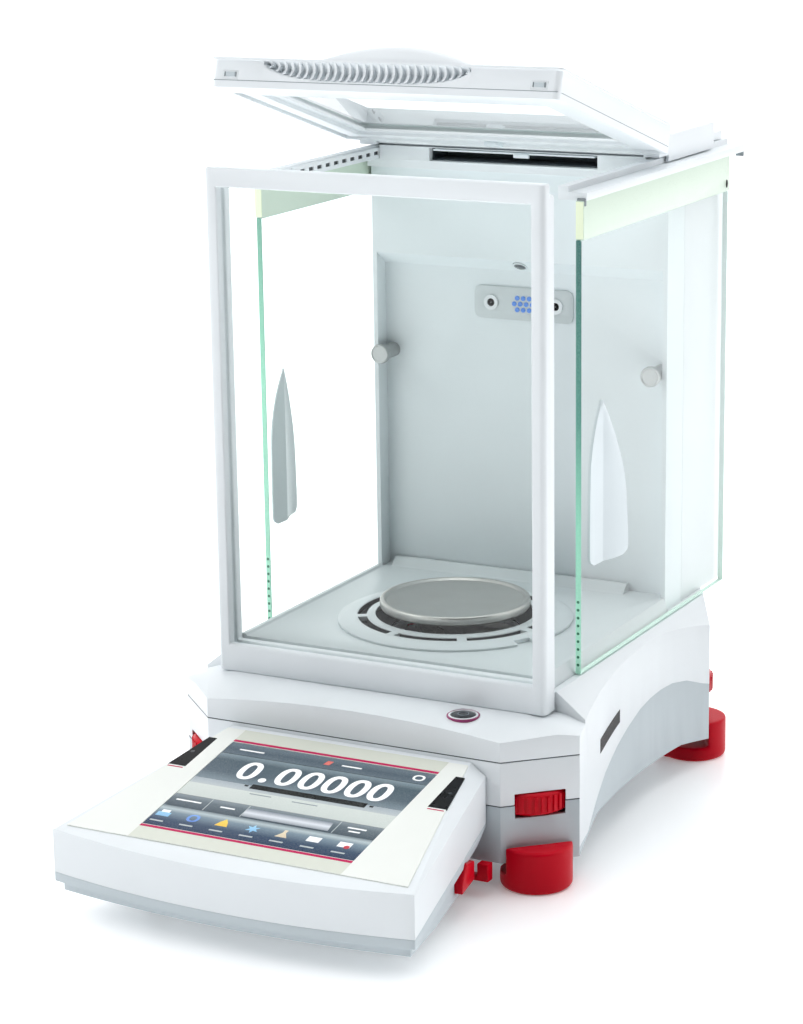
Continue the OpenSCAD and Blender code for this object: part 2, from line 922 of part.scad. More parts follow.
upper_profile = [
    [-170, seam_z(-170)], [terminal_rear_y, seam_z(terminal_rear_y)], [terminal_rear_y, 100], [-170, 100]
];
step_profile = [
    [-170, seam_z(-170) - step_drop], [-50, seam_z(-50) - step_drop], [-46, 27.5], [terminal_rear_y, 32],
    [terminal_rear_y, seam_z(terminal_rear_y)], [-170, seam_z(-170)]
];
sole_profile = [
    [-170, 12.5], [-150, 12], [-108, 10], [-52, 11.5], [-50, seam_z(-50) - step_drop],
    [-170, seam_z(-170) - step_drop]
];

module release_slot(grow = 0) {
    side_profile([
        [release_y - 11 - grow, 14.5 - grow], [release_y + 10 + grow, 14.5 - grow],
        [release_y + 10 + grow, 24 + grow], [release_y - 3, 27 + grow],
        [release_y - 11 - grow, 19 + grow]
    ], 72, 100);
}

module terminal_upper_shell() {
    color("whitesmoke") at_origin() difference() {
        terminal_solid(upper_profile);
        terminal_cavity();
        on_screen_plane() display_block(-12, 10);
    }
}

module terminal_lower_shell() {
    color("lightsteelblue") at_origin() difference() {
        union() {
            terminal_solid(step_profile);
            terminal_solid(sole_profile, 3);
        }
        terminal_cavity();
        both_sides() release_slot(gap);
    }
}

module terminal_overlay() {
    color("honeydew") at_origin() on_screen_plane() translate([0, 0, -overlay_t]) difference() {
        linear_extrude(overlay_t) polygon([
            [-overlay_half(-146), -56], [overlay_half(-146), -56], [overlay_half(-33), 56], [-overlay_half(-33), 56]
        ]);
        display_block(-5, 5);
        translate([0, 0, -1]) linear_extrude(3) sensor_plan();
    }
}

module terminal_display() {
    color("slategray") at_origin() on_screen_plane() display_block(-5.4, -0.2);
}

module terminal_sensors() {
    color("black") at_origin() on_screen_plane() translate([0, 0, -overlay_t]) linear_extrude(overlay_t) {
        sensor_plan();
    }
}

module terminal_board() {
    color("darkgreen") at_origin() {
        span_box([-60, -130, 20], [60, -62, 21.6]);
        span_box([-20, -110, 21.6], [0, -90, 25]);
        for (x = [-55, 55]) {
            for (y = [-125, -67]) {
                translate([x, y, 14]) cylinder(r = 2.5, h = 6);
            }
        }
    }
}

module terminal_feet() {
    color("dimgray") at_origin() both_sides() {
        translate([64, -110, 0]) cylinder(r = 6, h = 10);
        translate([58, -66, 0]) cylinder(r = 6, h = 10.95);
    }
}

module release_button() {
    color("crimson") at_origin() intersection() {
        release_slot();
        translate([1.2, 0, 0]) side_band();
    }
}

// A band along the terminal's tapering side, from which the button is cut
module side_band() {
    linear_extrude(60) polygon([
        [side_half(-100) - 6, -100], [side_half(-100), -100], [side_half(-40), -40], [side_half(-40) - 6, -40]
    ]);
}

module release_button_left() {
    mirror([1, 0, 0]) release_button();
}

module release_button_right() {
    release_button();
}

module dock_bracket() {
    color("crimson") at_origin() {
        span_box([-60, -42, 8], [60, front_y + 12, 10.5]);
        span_box([-60, front_y + 9, 10.5], [60, front_y + 12, 13.1]);
        both_sides() {
            span_box([60, -42, 8], [82, -36.5, 10.5]);
            span_box([76, -42, 10.5], [82, -36.5, 17]);
        }
    }
}

base_top_cover();
base_front_band();
base_lower_housing();
chassis_plate();
chassis_screws();
load_cell();
calibration_weight();
main_board();
rear_port_panel();
power_inlet();
side_window();
bubble_bezel();
bubble_vial();
chamber_tray();
draft_ring();
weighing_pan();
pan_support();
front_frame();
front_glass();
rear_wall_panel();
tower_cover();
tower_screws();
head_housing();
chamber_light();
ionizer_panel();
ionizer_nozzles();
ionizer_indicator();
thumbscrew_left();
thumbscrew_right();
hinge_pins();
lid_frame();
lid_glass();
lid_grip();
lid_latches();
door_left_glass();
door_left_hanger();
door_left_rail();
door_left_handle();
door_right_glass();
door_right_hanger();
door_right_rail();
door_right_handle();
level_wheel_front_left();
level_wheel_front_right();
level_wheel_rear_left();
level_wheel_rear_right();
foot_front_left();
foot_front_right();
foot_rear_left();
foot_rear_right();
terminal_upper_shell();
terminal_lower_shell();
terminal_overlay();
terminal_display();
terminal_sensors();
terminal_board();
terminal_feet();
release_button_left();
release_button_right();
dock_bracket();
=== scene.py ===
import json
import math

import bmesh
import bpy
from mathutils import Matrix, Vector


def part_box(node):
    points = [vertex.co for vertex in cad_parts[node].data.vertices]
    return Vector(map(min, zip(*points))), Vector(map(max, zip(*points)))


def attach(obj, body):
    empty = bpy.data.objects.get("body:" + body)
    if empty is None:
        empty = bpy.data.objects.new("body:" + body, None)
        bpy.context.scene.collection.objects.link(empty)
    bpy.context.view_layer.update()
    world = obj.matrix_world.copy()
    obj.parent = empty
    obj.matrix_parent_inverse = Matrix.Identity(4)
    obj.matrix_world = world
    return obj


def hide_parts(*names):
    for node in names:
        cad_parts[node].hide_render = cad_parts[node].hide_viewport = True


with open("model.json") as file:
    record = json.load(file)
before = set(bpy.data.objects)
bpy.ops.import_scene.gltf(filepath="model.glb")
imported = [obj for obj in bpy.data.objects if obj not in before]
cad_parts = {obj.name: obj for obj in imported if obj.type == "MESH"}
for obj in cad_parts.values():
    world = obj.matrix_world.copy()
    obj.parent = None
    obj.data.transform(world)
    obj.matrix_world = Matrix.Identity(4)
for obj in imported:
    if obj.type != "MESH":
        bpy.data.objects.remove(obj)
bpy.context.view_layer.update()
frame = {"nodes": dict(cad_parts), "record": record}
scene = bpy.context.scene
nodes = frame["nodes"]

MM = 0.001
SHIELD_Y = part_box("front_frame")[0].y  # the draft shield's front face
SIDES = {"left": -1, "right": 1}
PAN_Y = 88.7  # the pan's centre, in mm behind the shield's front face
UP = (0, 0, 1)
FRONT = (0, -1, 0)


# ---- Materials -----------------------------------------------------------------------------------

def rgb(red, green, blue):
    """A screen colour, 0 to 255, as linear light."""
    def linear(c):
        c /= 255
        return c / 12.92 if c <= 0.04045 else ((c + 0.055) / 1.055) ** 2.4
    return linear(red), linear(green), linear(blue)


def new_material(name):
    """A node material, its node tree and its shader."""
    mat = bpy.data.materials.new(name)
    mat.use_nodes = True
    tree = mat.node_tree
    return mat, tree, tree.nodes["Principled BSDF"]


def link(tree, a, b):
    tree.links.new(a, b)


def noise_node(tree, scale, detail=3.0, stretch=None):
    """Noise fixed to the piece; stretch packs it more densely along an axis."""
    coord = tree.nodes.new("ShaderNodeTexCoord")
    tex = tree.nodes.new("ShaderNodeTexNoise")
    tex.inputs["Scale"].default_value = scale
    tex.inputs["Detail"].default_value = detail
    if stretch:
        mapping = tree.nodes.new("ShaderNodeMapping")
        mapping.inputs["Scale"].default_value = stretch
        link(tree, coord.outputs["Object"], mapping.inputs["Vector"])
        link(tree, mapping.outputs["Vector"], tex.inputs["Vector"])
    else:
        link(tree, coord.outputs["Object"], tex.inputs["Vector"])
    return tex


def shade(color, factor):
    """A colour made lighter or darker, with its alpha."""
    return tuple(min(1.0, c * factor) for c in color) + (1.0,)


def color_ramp(tree, source, stops):
    """stops is a list of (position, colour)."""
    ramp = tree.nodes.new("ShaderNodeValToRGB")
    marks = ramp.color_ramp.elements
    while len(marks) < len(stops):
        marks.new(0.5)
    for mark, (position, color) in zip(marks, stops):
        mark.position = position
        mark.color = tuple(color[:3]) + (1.0,)
    link(tree, source, ramp.inputs["Fac"])
    return ramp.outputs["Color"]


def two_tone(tree, source, low, high):
    """Between two colours over the middle of a noise's range."""
    return color_ramp(tree, source, [(0.3, low), (0.7, high)])


def value_range(tree, source, low, high, start=0.3, end=0.7):
    """A value that runs from low, where the source is start, to high, where the source is end."""
    node = tree.nodes.new("ShaderNodeMapRange")
    node.inputs["From Min"].default_value = start
    node.inputs["From Max"].default_value = end
    node.inputs["To Min"].default_value = low
    node.inputs["To Max"].default_value = high
    link(tree, source, node.inputs["Value"])
    return node.outputs["Result"]


def bump(tree, shader, height, strength, distance):
    """Relief from a height between 0 and 1; distance is its depth in metres."""
    node = tree.nodes.new("ShaderNodeBump")
    node.inputs["Strength"].default_value = strength
    node.inputs["Distance"].default_value = distance
    link(tree, height, node.inputs["Height"])
    link(tree, node.outputs["Normal"], shader.inputs["Normal"])


def math_node(tree, operation, a, b):
    node = tree.nodes.new("ShaderNodeMath")
    node.operation = operation
    for socket, value in zip(node.inputs, (a, b)):
        if isinstance(value, (int, float)):
            socket.default_value = value
        else:
            link(tree, value, socket)
    return node.outputs["Value"]


PLASTIC_RELIEF, METAL_RELIEF = 0.1 * MM, 0.05 * MM


def plastic(name, color, rough, grain=1800.0, strength=0.12, vary=0.025, coat=0.0, glow=0.0,
            specular=0.5):
    """Moulded plastic: cloudy colour at hand scale, a fine spark-eroded grain and uneven gloss."""
    mat, tree, shader = new_material(name)
    cloud = noise_node(tree, 14.0, 4.0)
    link(tree, two_tone(tree, cloud.outputs["Fac"], shade(color, 1 - vary), shade(color, 1 + vary)),
         shader.inputs["Base Color"])
    fine = noise_node(tree, grain, 2.0)
    link(tree, value_range(tree, fine.outputs["Fac"], rough * 0.88, rough * 1.12), shader.inputs["Roughness"])
    bump(tree, shader, fine.outputs["Fac"], strength, PLASTIC_RELIEF)
    shader.inputs["Specular IOR Level"].default_value = specular
    if coat:
        shader.inputs["Coat Weight"].default_value = coat
        shader.inputs["Coat Roughness"].default_value = 0.08
    if glow:
        shader.inputs["Emission Color"].default_value = tuple(color) + (1.0,)
        shader.inputs["Emission Strength"].default_value = glow
    return mat


def metal(name, color, rough, scale=900.0, stretch=(1.0, 1.0, 1.0), strength=0.15, vary=0.06):
    """Metal with a grain: stretched noise drives colour, gloss and relief."""
    mat, tree, shader = new_material(name)
    shader.inputs["Metallic"].default_value = 1.0
    grain = noise_node(tree, scale, 3.0, stretch)
    link(tree, two_tone(tree, grain.outputs["Fac"], shade(color, 1 - vary), shade(color, 1 + vary)),
         shader.inputs["Base Color"])
    link(tree, value_range(tree, grain.outputs["Fac"], rough * 0.8, rough * 1.25), shader.inputs["Roughness"])
    bump(tree, shader, grain.outputs["Fac"], strength, METAL_RELIEF)
    return mat


def turned_steel(name, centre, color, rough):
    """Steel brushed in rings about a vertical axis through centre."""
    mat, tree, shader = new_material(name)
    shader.inputs["Metallic"].default_value = 1.0
    coord = tree.nodes.new("ShaderNodeTexCoord")
    offset = tree.nodes.new("ShaderNodeVectorMath")
    offset.operation = "SUBTRACT"
    offset.inputs[1].default_value = centre
    link(tree, coord.outputs["Object"], offset.inputs[0])
    length = tree.nodes.new("ShaderNodeVectorMath")
    length.operation = "LENGTH"
    link(tree, offset.outputs["Vector"], length.inputs[0])
    combine = tree.nodes.new("ShaderNodeCombineXYZ")
    link(tree, length.outputs["Value"], combine.inputs["X"])
    rings = tree.nodes.new("ShaderNodeTexNoise")
    rings.inputs["Scale"].default_value = 2600.0
    rings.inputs["Detail"].default_value = 2.0
    link(tree, combine.outputs["Vector"], rings.inputs["Vector"])
    cloud = noise_node(tree, 60.0, 4.0)
    link(tree, two_tone(tree, rings.outputs["Fac"], shade(color, 0.9), shade(color, 1.1)),
         shader.inputs["Base Color"])
    link(tree, value_range(tree, cloud.outputs["Fac"], rough * 0.85, rough * 1.2), shader.inputs["Roughness"])
    bump(tree, shader, rings.outputs["Fac"], 0.25, METAL_RELIEF)
    return mat


def clear_pane(name, tint, ior=1.45):
    """A clear sheet: light goes straight through, and its outer faces mirror more at a glance."""
    mat, tree, shader = new_material(name)
    out = tree.nodes["Material Output"]
    clear = tree.nodes.new("ShaderNodeBsdfTransparent")
    clear.inputs["Color"].default_value = tint
    gloss = tree.nodes.new("ShaderNodeBsdfGlossy")
    smear = noise_node(tree, 22.0, 4.0)
    link(tree, value_range(tree, smear.outputs["Fac"], 0.01, 0.05), gloss.inputs["Roughness"])
    fresnel = tree.nodes.new("ShaderNodeFresnel")
    fresnel.inputs["IOR"].default_value = ior
    geometry = tree.nodes.new("ShaderNodeNewGeometry")
    outside = math_node(tree, "SUBTRACT", 1.0, geometry.outputs["Backfacing"])
    mix = tree.nodes.new("ShaderNodeMixShader")
    link(tree, math_node(tree, "MULTIPLY", fresnel.outputs["Fac"], outside), mix.inputs["Fac"])
    link(tree, clear.outputs["BSDF"], mix.inputs[1])
    link(tree, gloss.outputs["BSDF"], mix.inputs[2])
    link(tree, mix.outputs["Shader"], out.inputs["Surface"])
    tree.nodes.remove(shader)
    return mat


def along(tree, direction, start, end):
    """0 to 1 along a direction, between two distances measured in metres."""
    coord = tree.nodes.new("ShaderNodeTexCoord")
    dot = tree.nodes.new("ShaderNodeVectorMath")
    dot.operation = "DOT_PRODUCT"
    dot.inputs[1].default_value = direction
    link(tree, coord.outputs["Object"], dot.inputs[0])
    return value_range(tree, dot.outputs["Value"], 0.0, 1.0, start, end)


PANE_FOOT, PANE_TOP = 0.09, 0.31  # metres above the table


def glass_edge(name, colors):
    """The ground rim of a pane, with painted light and shade from its foot to its top and a faint painted
    glow.
    """
    mat, tree, shader = new_material(name)
    height = along(tree, UP, PANE_FOOT, PANE_TOP)
    color = color_ramp(tree, height, colors)
    link(tree, color, shader.inputs["Base Color"])
    link(tree, color, shader.inputs["Emission Color"])
    shader.inputs["Emission Strength"].default_value = 0.08
    fine = noise_node(tree, 1500.0)
    link(tree, value_range(tree, fine.outputs["Fac"], 0.2, 0.35), shader.inputs["Roughness"])
    return mat


def lit_panel(name, v_low, v_high, stops, glow=0.12):
    """A lit area of the screen, shaded from its near edge to its far edge."""
    mat, tree, shader = new_material(name)
    rise = (SCREEN.to_3x3() @ Vector((0, 1, 0))).normalized()
    middle = SCREEN.translation.dot(rise)
    color = color_ramp(tree, along(tree, rise, middle + v_low * MM, middle + v_high * MM), stops)
    link(tree, color, shader.inputs["Base Color"])
    link(tree, color, shader.inputs["Emission Color"])
    shader.inputs["Emission Strength"].default_value = glow
    shader.inputs["Specular IOR Level"].default_value = 0.15
    dots = noise_node(tree, 2400.0, 1.0)
    link(tree, value_range(tree, dots.outputs["Fac"], 0.24, 0.30), shader.inputs["Roughness"])
    return mat


# ---- Places: millimetres, with y measured from the draft shield's front face ---------------------

def P(x, y, z):
    """A point of the scene, in metres."""
    return Vector((x * MM, y * MM + SHIELD_Y, z * MM))


def box_mm(node):
    """A node's corners in millimetres, with y from the shield's front face."""
    return tuple((corner.x / MM, (corner.y - SHIELD_Y) / MM, corner.z / MM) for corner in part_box(node))


# The lid's pieces are drawn closed and then turned about its hinge
LID_ANGLE = 16.8
LID_HINGE = P(0, 160, 343)
LID_TURN = (Matrix.Translation(LID_HINGE) @ Matrix.Rotation(math.radians(-LID_ANGLE), 4, "X")
            @ Matrix.Translation(-LID_HINGE))
SCREEN_TILT = 9.66
SCREEN = Matrix.Translation(P(0, -89.4, 54.3)) @ Matrix.Rotation(math.radians(SCREEN_TILT), 4, "X")

M = {
    "shell_white": plastic("shell_white", rgb(234, 239, 242), 0.42),
    "shell_grey": plastic("shell_grey", rgb(196, 206, 211), 0.45),
    "tray_grey": plastic("tray_grey", rgb(208, 216, 218), 0.38),
    "wall_white": plastic("wall_white", rgb(234, 242, 245), 0.45),
    # The handles' faint glow is painted light: it brightens them where they are seen through the glass.
    "handle_white": plastic("handle_white", rgb(214, 223, 227), 0.35, glow=0.08, specular=0.3),
    "seam_grey": plastic("seam_grey", rgb(128, 138, 145), 0.6),
    "seam_dark": plastic("seam_dark", rgb(74, 82, 88), 0.6, vary=0.1),
    "hanger_green": plastic("hanger_green", rgb(216, 232, 216), 0.3, vary=0.015),
    # The hanger ends' glow is painted light, which brightens their tips.
    "hanger_end": plastic("hanger_end", rgb(236, 245, 214), 0.3, vary=0.015, glow=0.1),
    "red_gloss": plastic("red_gloss", rgb(206, 0, 30), 0.35, grain=900.0, strength=0.05, coat=0.04,
                         specular=0.12),
    "red_foot": plastic("red_foot", rgb(200, 0, 30), 0.4, grain=1400.0, strength=0.12, specular=0.12),
    "crimson_print": plastic("crimson_print", rgb(192, 0, 84), 0.45, vary=0.04, specular=0.2),
    "aluminium_cast": metal("aluminium_cast", (0.62, 0.63, 0.64), 0.5, 700.0, strength=0.4),
    "aluminium_cell": metal("aluminium_cell", (0.70, 0.71, 0.72), 0.3, 900.0, (1, 8, 1)),
    "steel_screw": metal("steel_screw", (0.62, 0.62, 0.63), 0.3, 1500.0),
    "steel_weight": metal("steel_weight", (0.66, 0.65, 0.62), 0.25, 1200.0, (1, 1, 9)),
    "steel_knurled": metal("steel_knurled", (0.42, 0.44, 0.44), 0.36, 1600.0),
    "circuit_board": plastic("circuit_board", (0.02, 0.16, 0.06), 0.4, vary=0.2),
    "port_dark": plastic("port_dark", (0.035, 0.037, 0.04), 0.45, vary=0.1),
    "window_black": plastic("window_black", (0.006, 0.006, 0.007), 0.3, grain=400.0, strength=0.03, vary=0.2,
                            specular=0.08),
    # well_dark is painted shade: the dark of the hollows under the draft ring, in its slots and in the doors'
    # rail slots.
    "well_dark": plastic("well_dark", (0.045, 0.05, 0.055), 0.5, vary=0.2),
    "bezel_purple": plastic("bezel_purple", rgb(150, 40, 100), 0.3),
    "vial_dark": plastic("vial_dark", (0.010, 0.014, 0.018), 0.08, grain=400.0, strength=0.02, vary=0.2),
    "lens_clear": plastic("lens_clear", rgb(96, 104, 108), 0.12, vary=0.1),
    "indicator_blue": plastic("indicator_blue", rgb(72, 130, 214), 0.3, vary=0.1, glow=0.15),
    "latch_grey": plastic("latch_grey", rgb(140, 149, 153), 0.4),
    "overlay_film": plastic("overlay_film", rgb(238, 240, 235), 0.34, grain=2600.0, strength=0.05),
    "overlay_strip": plastic("overlay_strip", rgb(217, 220, 208), 0.34, grain=2600.0, strength=0.05),
    "display_face": plastic("display_face", rgb(60, 70, 80), 0.15, grain=300.0, strength=0.02),
    "foot_rubber": plastic("foot_rubber", (0.02, 0.02, 0.022), 0.7, vary=0.15),
    "dot_green": plastic("dot_green", rgb(30, 120, 84), 0.4, vary=0.1),
    "pane": clear_pane("pane", (0.985, 0.995, 0.99, 1)),
    "pane_coated": clear_pane("pane_coated", (0.985, 0.99, 0.99, 1), 1.25),
    # Painted light and shade on the pane rims: each door's front rim is painted bright at the foot and darker
    # towards the top, the right one much darker, and the other rims are painted pale.
    "rim_right": glass_edge("rim_right", [(0.0, rgb(182, 236, 212)), (0.35, rgb(150, 222, 194)),
                                          (0.6, rgb(84, 150, 136)), (1.0, rgb(58, 112, 106))]),
    "rim_left": glass_edge("rim_left", [(0.0, rgb(170, 232, 206)), (0.6, rgb(166, 234, 206)),
                                        (1.0, rgb(120, 180, 160))]),
    "rim_pale": glass_edge("rim_pale", [(0.0, rgb(206, 238, 224)), (0.4, rgb(222, 238, 234)),
                                        (1.0, rgb(208, 226, 222))]),
    "pan_steel": turned_steel("pan_steel", P(0, PAN_Y, 109), (0.50, 0.495, 0.475), 0.34),
}

for sub in frame["record"]["subparts"]:
    node = nodes[sub["node"]]
    node.data.materials.clear()
    node.data.materials.append(M[sub["material_slot"]])
nodes["rear_wall_panel"].data.materials[0] = M["wall_white"]


# ---- Soft edges on the moulded parts -------------------------------------------------------------

def soften(name, width, segments=2, angle=32.0):
    """Rounds a CAD node's sharp edges, once its triangles are joined into plain faces."""
    obj = nodes[name]
    for poly in obj.data.polygons:
        poly.use_smooth = True
    weld = obj.modifiers.new("weld", "WELD")
    weld.merge_threshold = 1e-6
    if name != "lid_frame":  # a single face round the lid's window would fill it in
        flat = obj.modifiers.new("flat", "DECIMATE")
        flat.decimate_type = "DISSOLVE"
        flat.angle_limit = math.radians(0.6)
    bevel = obj.modifiers.new("bevel", "BEVEL")
    bevel.width = width * MM
    bevel.segments = segments
    bevel.limit_method = "ANGLE"
    bevel.angle_limit = math.radians(angle)
    bevel.use_clamp_overlap = True
    bevel.harden_normals = True


# Radius of the rounded edges in mm
EDGES = {
    "base_top_cover": 1.2, "base_front_band": 0.5, "base_lower_housing": 0.7, "chamber_tray": 0.5,
    "draft_ring": 0.3, "front_frame": 1.0, "rear_wall_panel": 2.4, "tower_cover": 0.8,
    "head_housing": 0.8, "lid_frame": 0.9, "door_left_rail": 0.4,
    "door_right_rail": 0.4, "door_left_hanger": 0.5, "door_right_hanger": 0.5,
    "terminal_upper_shell": 2.6, "terminal_lower_shell": 1.2, "release_button_left": 0.6,
    "release_button_right": 0.6, "dock_bracket": 0.5, "weighing_pan": 0.2, "ionizer_panel": 0.4,
    "level_wheel_front_left": 0.3, "level_wheel_front_right": 0.3,
    "level_wheel_rear_left": 0.3, "level_wheel_rear_right": 0.3,
}
for node_name, width in EDGES.items():
    soften(node_name, width, segments=4 if width > 2 else 2)


# ---- Mesh tools ----------------------------------------------------------------------------------

def place(bm, name, materials, body, replaces=(), bevel=0.0, turn=None, smooth=True, sharp=35):
    """Turns a bmesh into a piece that rides on a body, with bevelled edges or edges sharp above an angle."""
    bmesh.ops.recalc_face_normals(bm, faces=bm.faces)
    if turn is not None:
        bmesh.ops.transform(bm, matrix=turn, verts=bm.verts)
    for face in bm.faces:
        face.smooth = smooth
    mesh = bpy.data.meshes.new(name)
    bm.to_mesh(mesh)
    bm.free()
    for mat in materials:
        mesh.materials.append(M[mat] if isinstance(mat, str) else mat)
    piece = bpy.data.objects.new(name, mesh)
    scene.collection.objects.link(piece)
    if bevel:
        mod = piece.modifiers.new("bevel", "BEVEL")
        mod.width = bevel * MM
        mod.segments = 2
        mod.limit_method = "ANGLE"
        mod.angle_limit = math.radians(30)
        mod.harden_normals = True
    elif smooth:
        mesh.set_sharp_from_angle(angle=math.radians(sharp))
    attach(piece, body)
    if replaces:
        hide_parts(*replaces)
    return piece


def add_slab(bm, outline, shift, index=0):
    """A solid between a flat outline of points and the same outline moved by shift."""
    low = [bm.verts.new(p) for p in outline]
    high = [bm.verts.new(p + shift) for p in outline]
    faces = [bm.faces.new(low), bm.faces.new(high[::-1])]
    for i in range(len(low)):
        j = (i + 1) % len(low)
        faces.append(bm.faces.new((low[i], high[i], high[j], low[j])))
    for face in faces:
        face.material_index = index


def add_box(bm, a, b, index=0):
    """A block between two opposite corners in mm."""
    x0, y0, z0 = (min(p, q) for p, q in zip(a, b))
    x1, y1, z1 = (max(p, q) for p, q in zip(a, b))
    outline = [P(x0, y0, z0), P(x1, y0, z0), P(x1, y1, z0), P(x0, y1, z0)]
    add_slab(bm, outline, Vector((0, 0, (z1 - z0) * MM)), index)


def add_lathe(bm, centre, axis, profile, steps=64, index=0, flutes=0, depth=0.0):
    """A turned solid. The profile is (radius, height) pairs in mm; flutes cut into its widest rings."""
    axis = Vector(axis).normalized()
    across = axis.orthogonal().normalized()
    other = axis.cross(across)
    widest = max(r for r, _ in profile)
    rings = []
    for r, h in profile:
        middle = centre + axis * h * MM
        if r == 0:
            rings.append([bm.verts.new(middle)])
            continue
        ring = []
        for k in range(steps):
            a = 2 * math.pi * k / steps
            cut = depth * (0.5 + 0.5 * math.cos(flutes * a)) if flutes and r == widest else 0.0
            ring.append(bm.verts.new(middle + (across * math.cos(a) + other * math.sin(a)) * (r - cut) * MM))
        rings.append(ring)
    closed = len(rings[0]) > 1
    pairs = list(zip(rings, rings[1:])) + ([(rings[-1], rings[0])] if closed else [])
    for a, b in pairs:
        for k in range(steps):
            m = (k + 1) % steps
            corners = ([a[0]] if len(a) == 1 else [a[k], a[m]]) + ([b[0]] if len(b) == 1 else [b[m], b[k]])
            bm.faces.new(corners).material_index = index


def add_sheet(bm, top, bottom):
    """A closed solid between two grids of points of the same size."""
    rows, columns = len(top), len(top[0])
    a = [[bm.verts.new(p) for p in row] for row in top]
    b = [[bm.verts.new(p) for p in row] for row in bottom]
    for i in range(rows - 1):
        for j in range(columns - 1):
            bm.faces.new((a[i][j], a[i + 1][j], a[i + 1][j + 1], a[i][j + 1]))
            bm.faces.new((b[i][j], b[i][j + 1], b[i + 1][j + 1], b[i + 1][j]))
        for j in (0, columns - 1):
            bm.faces.new((a[i][j], a[i + 1][j], b[i + 1][j], b[i][j]))
    for i in (0, rows - 1):
        for j in range(columns - 1):
            bm.faces.new((a[i][j], a[i][j + 1], b[i][j + 1], b[i][j]))


def spline(points, per=6):
    """Points of a smooth curve through the given 2-D points."""
    out = []
    last = len(points) - 1
    for i in range(last):
        p0, p1, p2, p3 = (points[min(max(i + d, 0), last)] for d in (-1, 0, 1, 2))
        for k in range(per):
            t = k / per
            out.append(tuple(
                0.5 * (2 * b + (c - a) * t + (2 * a - 5 * b + 4 * c - d) * t ** 2
                       + (3 * b - a - 3 * c + d) * t ** 3)
                for a, b, c, d in zip(p0, p1, p2, p3)))
    return out + [tuple(points[last])]


def reach(points, height):
    """How far an outline of (distance, height) points reaches at a height."""
    best = 0.0
    for (d0, z0), (d1, z1) in zip(points, points[1:]):
        if min(z0, z1) <= height <= max(z0, z1) and z0 != z1:
            best = max(best, d0 + (d1 - d0) * (height - z0) / (z1 - z0))
    return best


# ---- Glass ---------------------------------------------------------------------------------------

def glass_pane(name, node, body, a, b, thin, turn=None, front_rim="rim_pale", clear="pane"):
    """A pane with ground edges: clear on its two large faces, tinted on the rim with painted light and shade.

    thin is the axis of its thickness.
    """
    bm = bmesh.new()
    add_box(bm, a, b)
    bmesh.ops.bevel(bm, geom=list(bm.edges), offset=0.35 * MM, segments=1, affect="EDGES")
    bmesh.ops.recalc_face_normals(bm, faces=bm.faces)
    for face in bm.faces:
        if abs(face.normal[thin]) > 0.99:
            face.material_index = 0
        else:
            faces_front = face.normal.y < -0.6
            face.material_index = 2 if faces_front else 1
    place(bm, name, [clear, "rim_pale", front_rim], body, (node,), turn=turn, smooth=False)


for side in SIDES:
    glass_pane(f"door_{side}_pane", f"door_{side}_glass", f"door_{side}", *box_mm(f"door_{side}_glass"), 0,
               front_rim=f"rim_{side}")
glass_pane("front_pane", "front_glass", "base", *box_mm("front_glass"), 1)
glass_pane("lid_pane", "lid_glass", "lid", (-78, 22, 341.5), (78, 138, 344.5), 2, LID_TURN,
           clear="pane_coated")


# ---- Side doors ----------------------------------------------------------------------------------

SAIL_FOOT, SAIL_TIP = 144.5, 227.5
FOLD_BACK = 24.6  # from the door's front edge to the handle's fold
LEAF_ANGLE = math.radians(15.5)
# Outlines of the two leaves: distance from the fold, and height
PANE_LEAF = [(0, SAIL_FOOT), (10, SAIL_FOOT), (13.6, 146.4), (14.9, 152), (14.4, 190), (12.4, 203),
             (8.8, 213.4), (4, 222), (0, SAIL_TIP)]
FREE_LEAF = [(0, SAIL_FOOT), (17, SAIL_FOOT), (20.3, 146.4), (21, 151), (20.2, 166), (17.8, 187),
             (11.2, 206), (4.4, 220), (0, SAIL_TIP)]


def sail_handle(side):
    """A folded sail: one leaf lies on the glass, the other stands out and trails back."""
    sign = SIDES[side]
    low, high = box_mm(f"door_{side}_glass")
    face = max(abs(low[0]), abs(high[0]))
    fold = low[1] + FOLD_BACK
    heights = [SAIL_FOOT + (SAIL_TIP - SAIL_FOOT) * k / 40 for k in range(41)]
    bm = bmesh.new()
    cells = 8
    for outline, lean, way in ((spline(PANE_LEAF), 0.0, -1), (spline(FREE_LEAF), LEAF_ANGLE, 1)):
        skins = []
        for lift in (1.25, 0.05):
            rows = []
            for z in heights:
                width = max(reach(outline, z), 0.3)
                row = []
                for c in range(cells + 1):
                    part = c / cells
                    span = width * part
                    cup = 0.8 * math.sin(math.pi * part) * min(1.0, width / 12) if lean else 0.0
                    thick = lift * (1 - 0.4 * part)
                    out = span * math.sin(lean) + cup + thick
                    row.append(P(sign * (face + out), fold + way * span * math.cos(lean), z))
                rows.append(row)
            skins.append(rows)
        add_sheet(bm, *skins)
    place(bm, f"door_{side}_sail", ["handle_white"], f"door_{side}", (f"door_{side}_handle",),
          sharp=50)


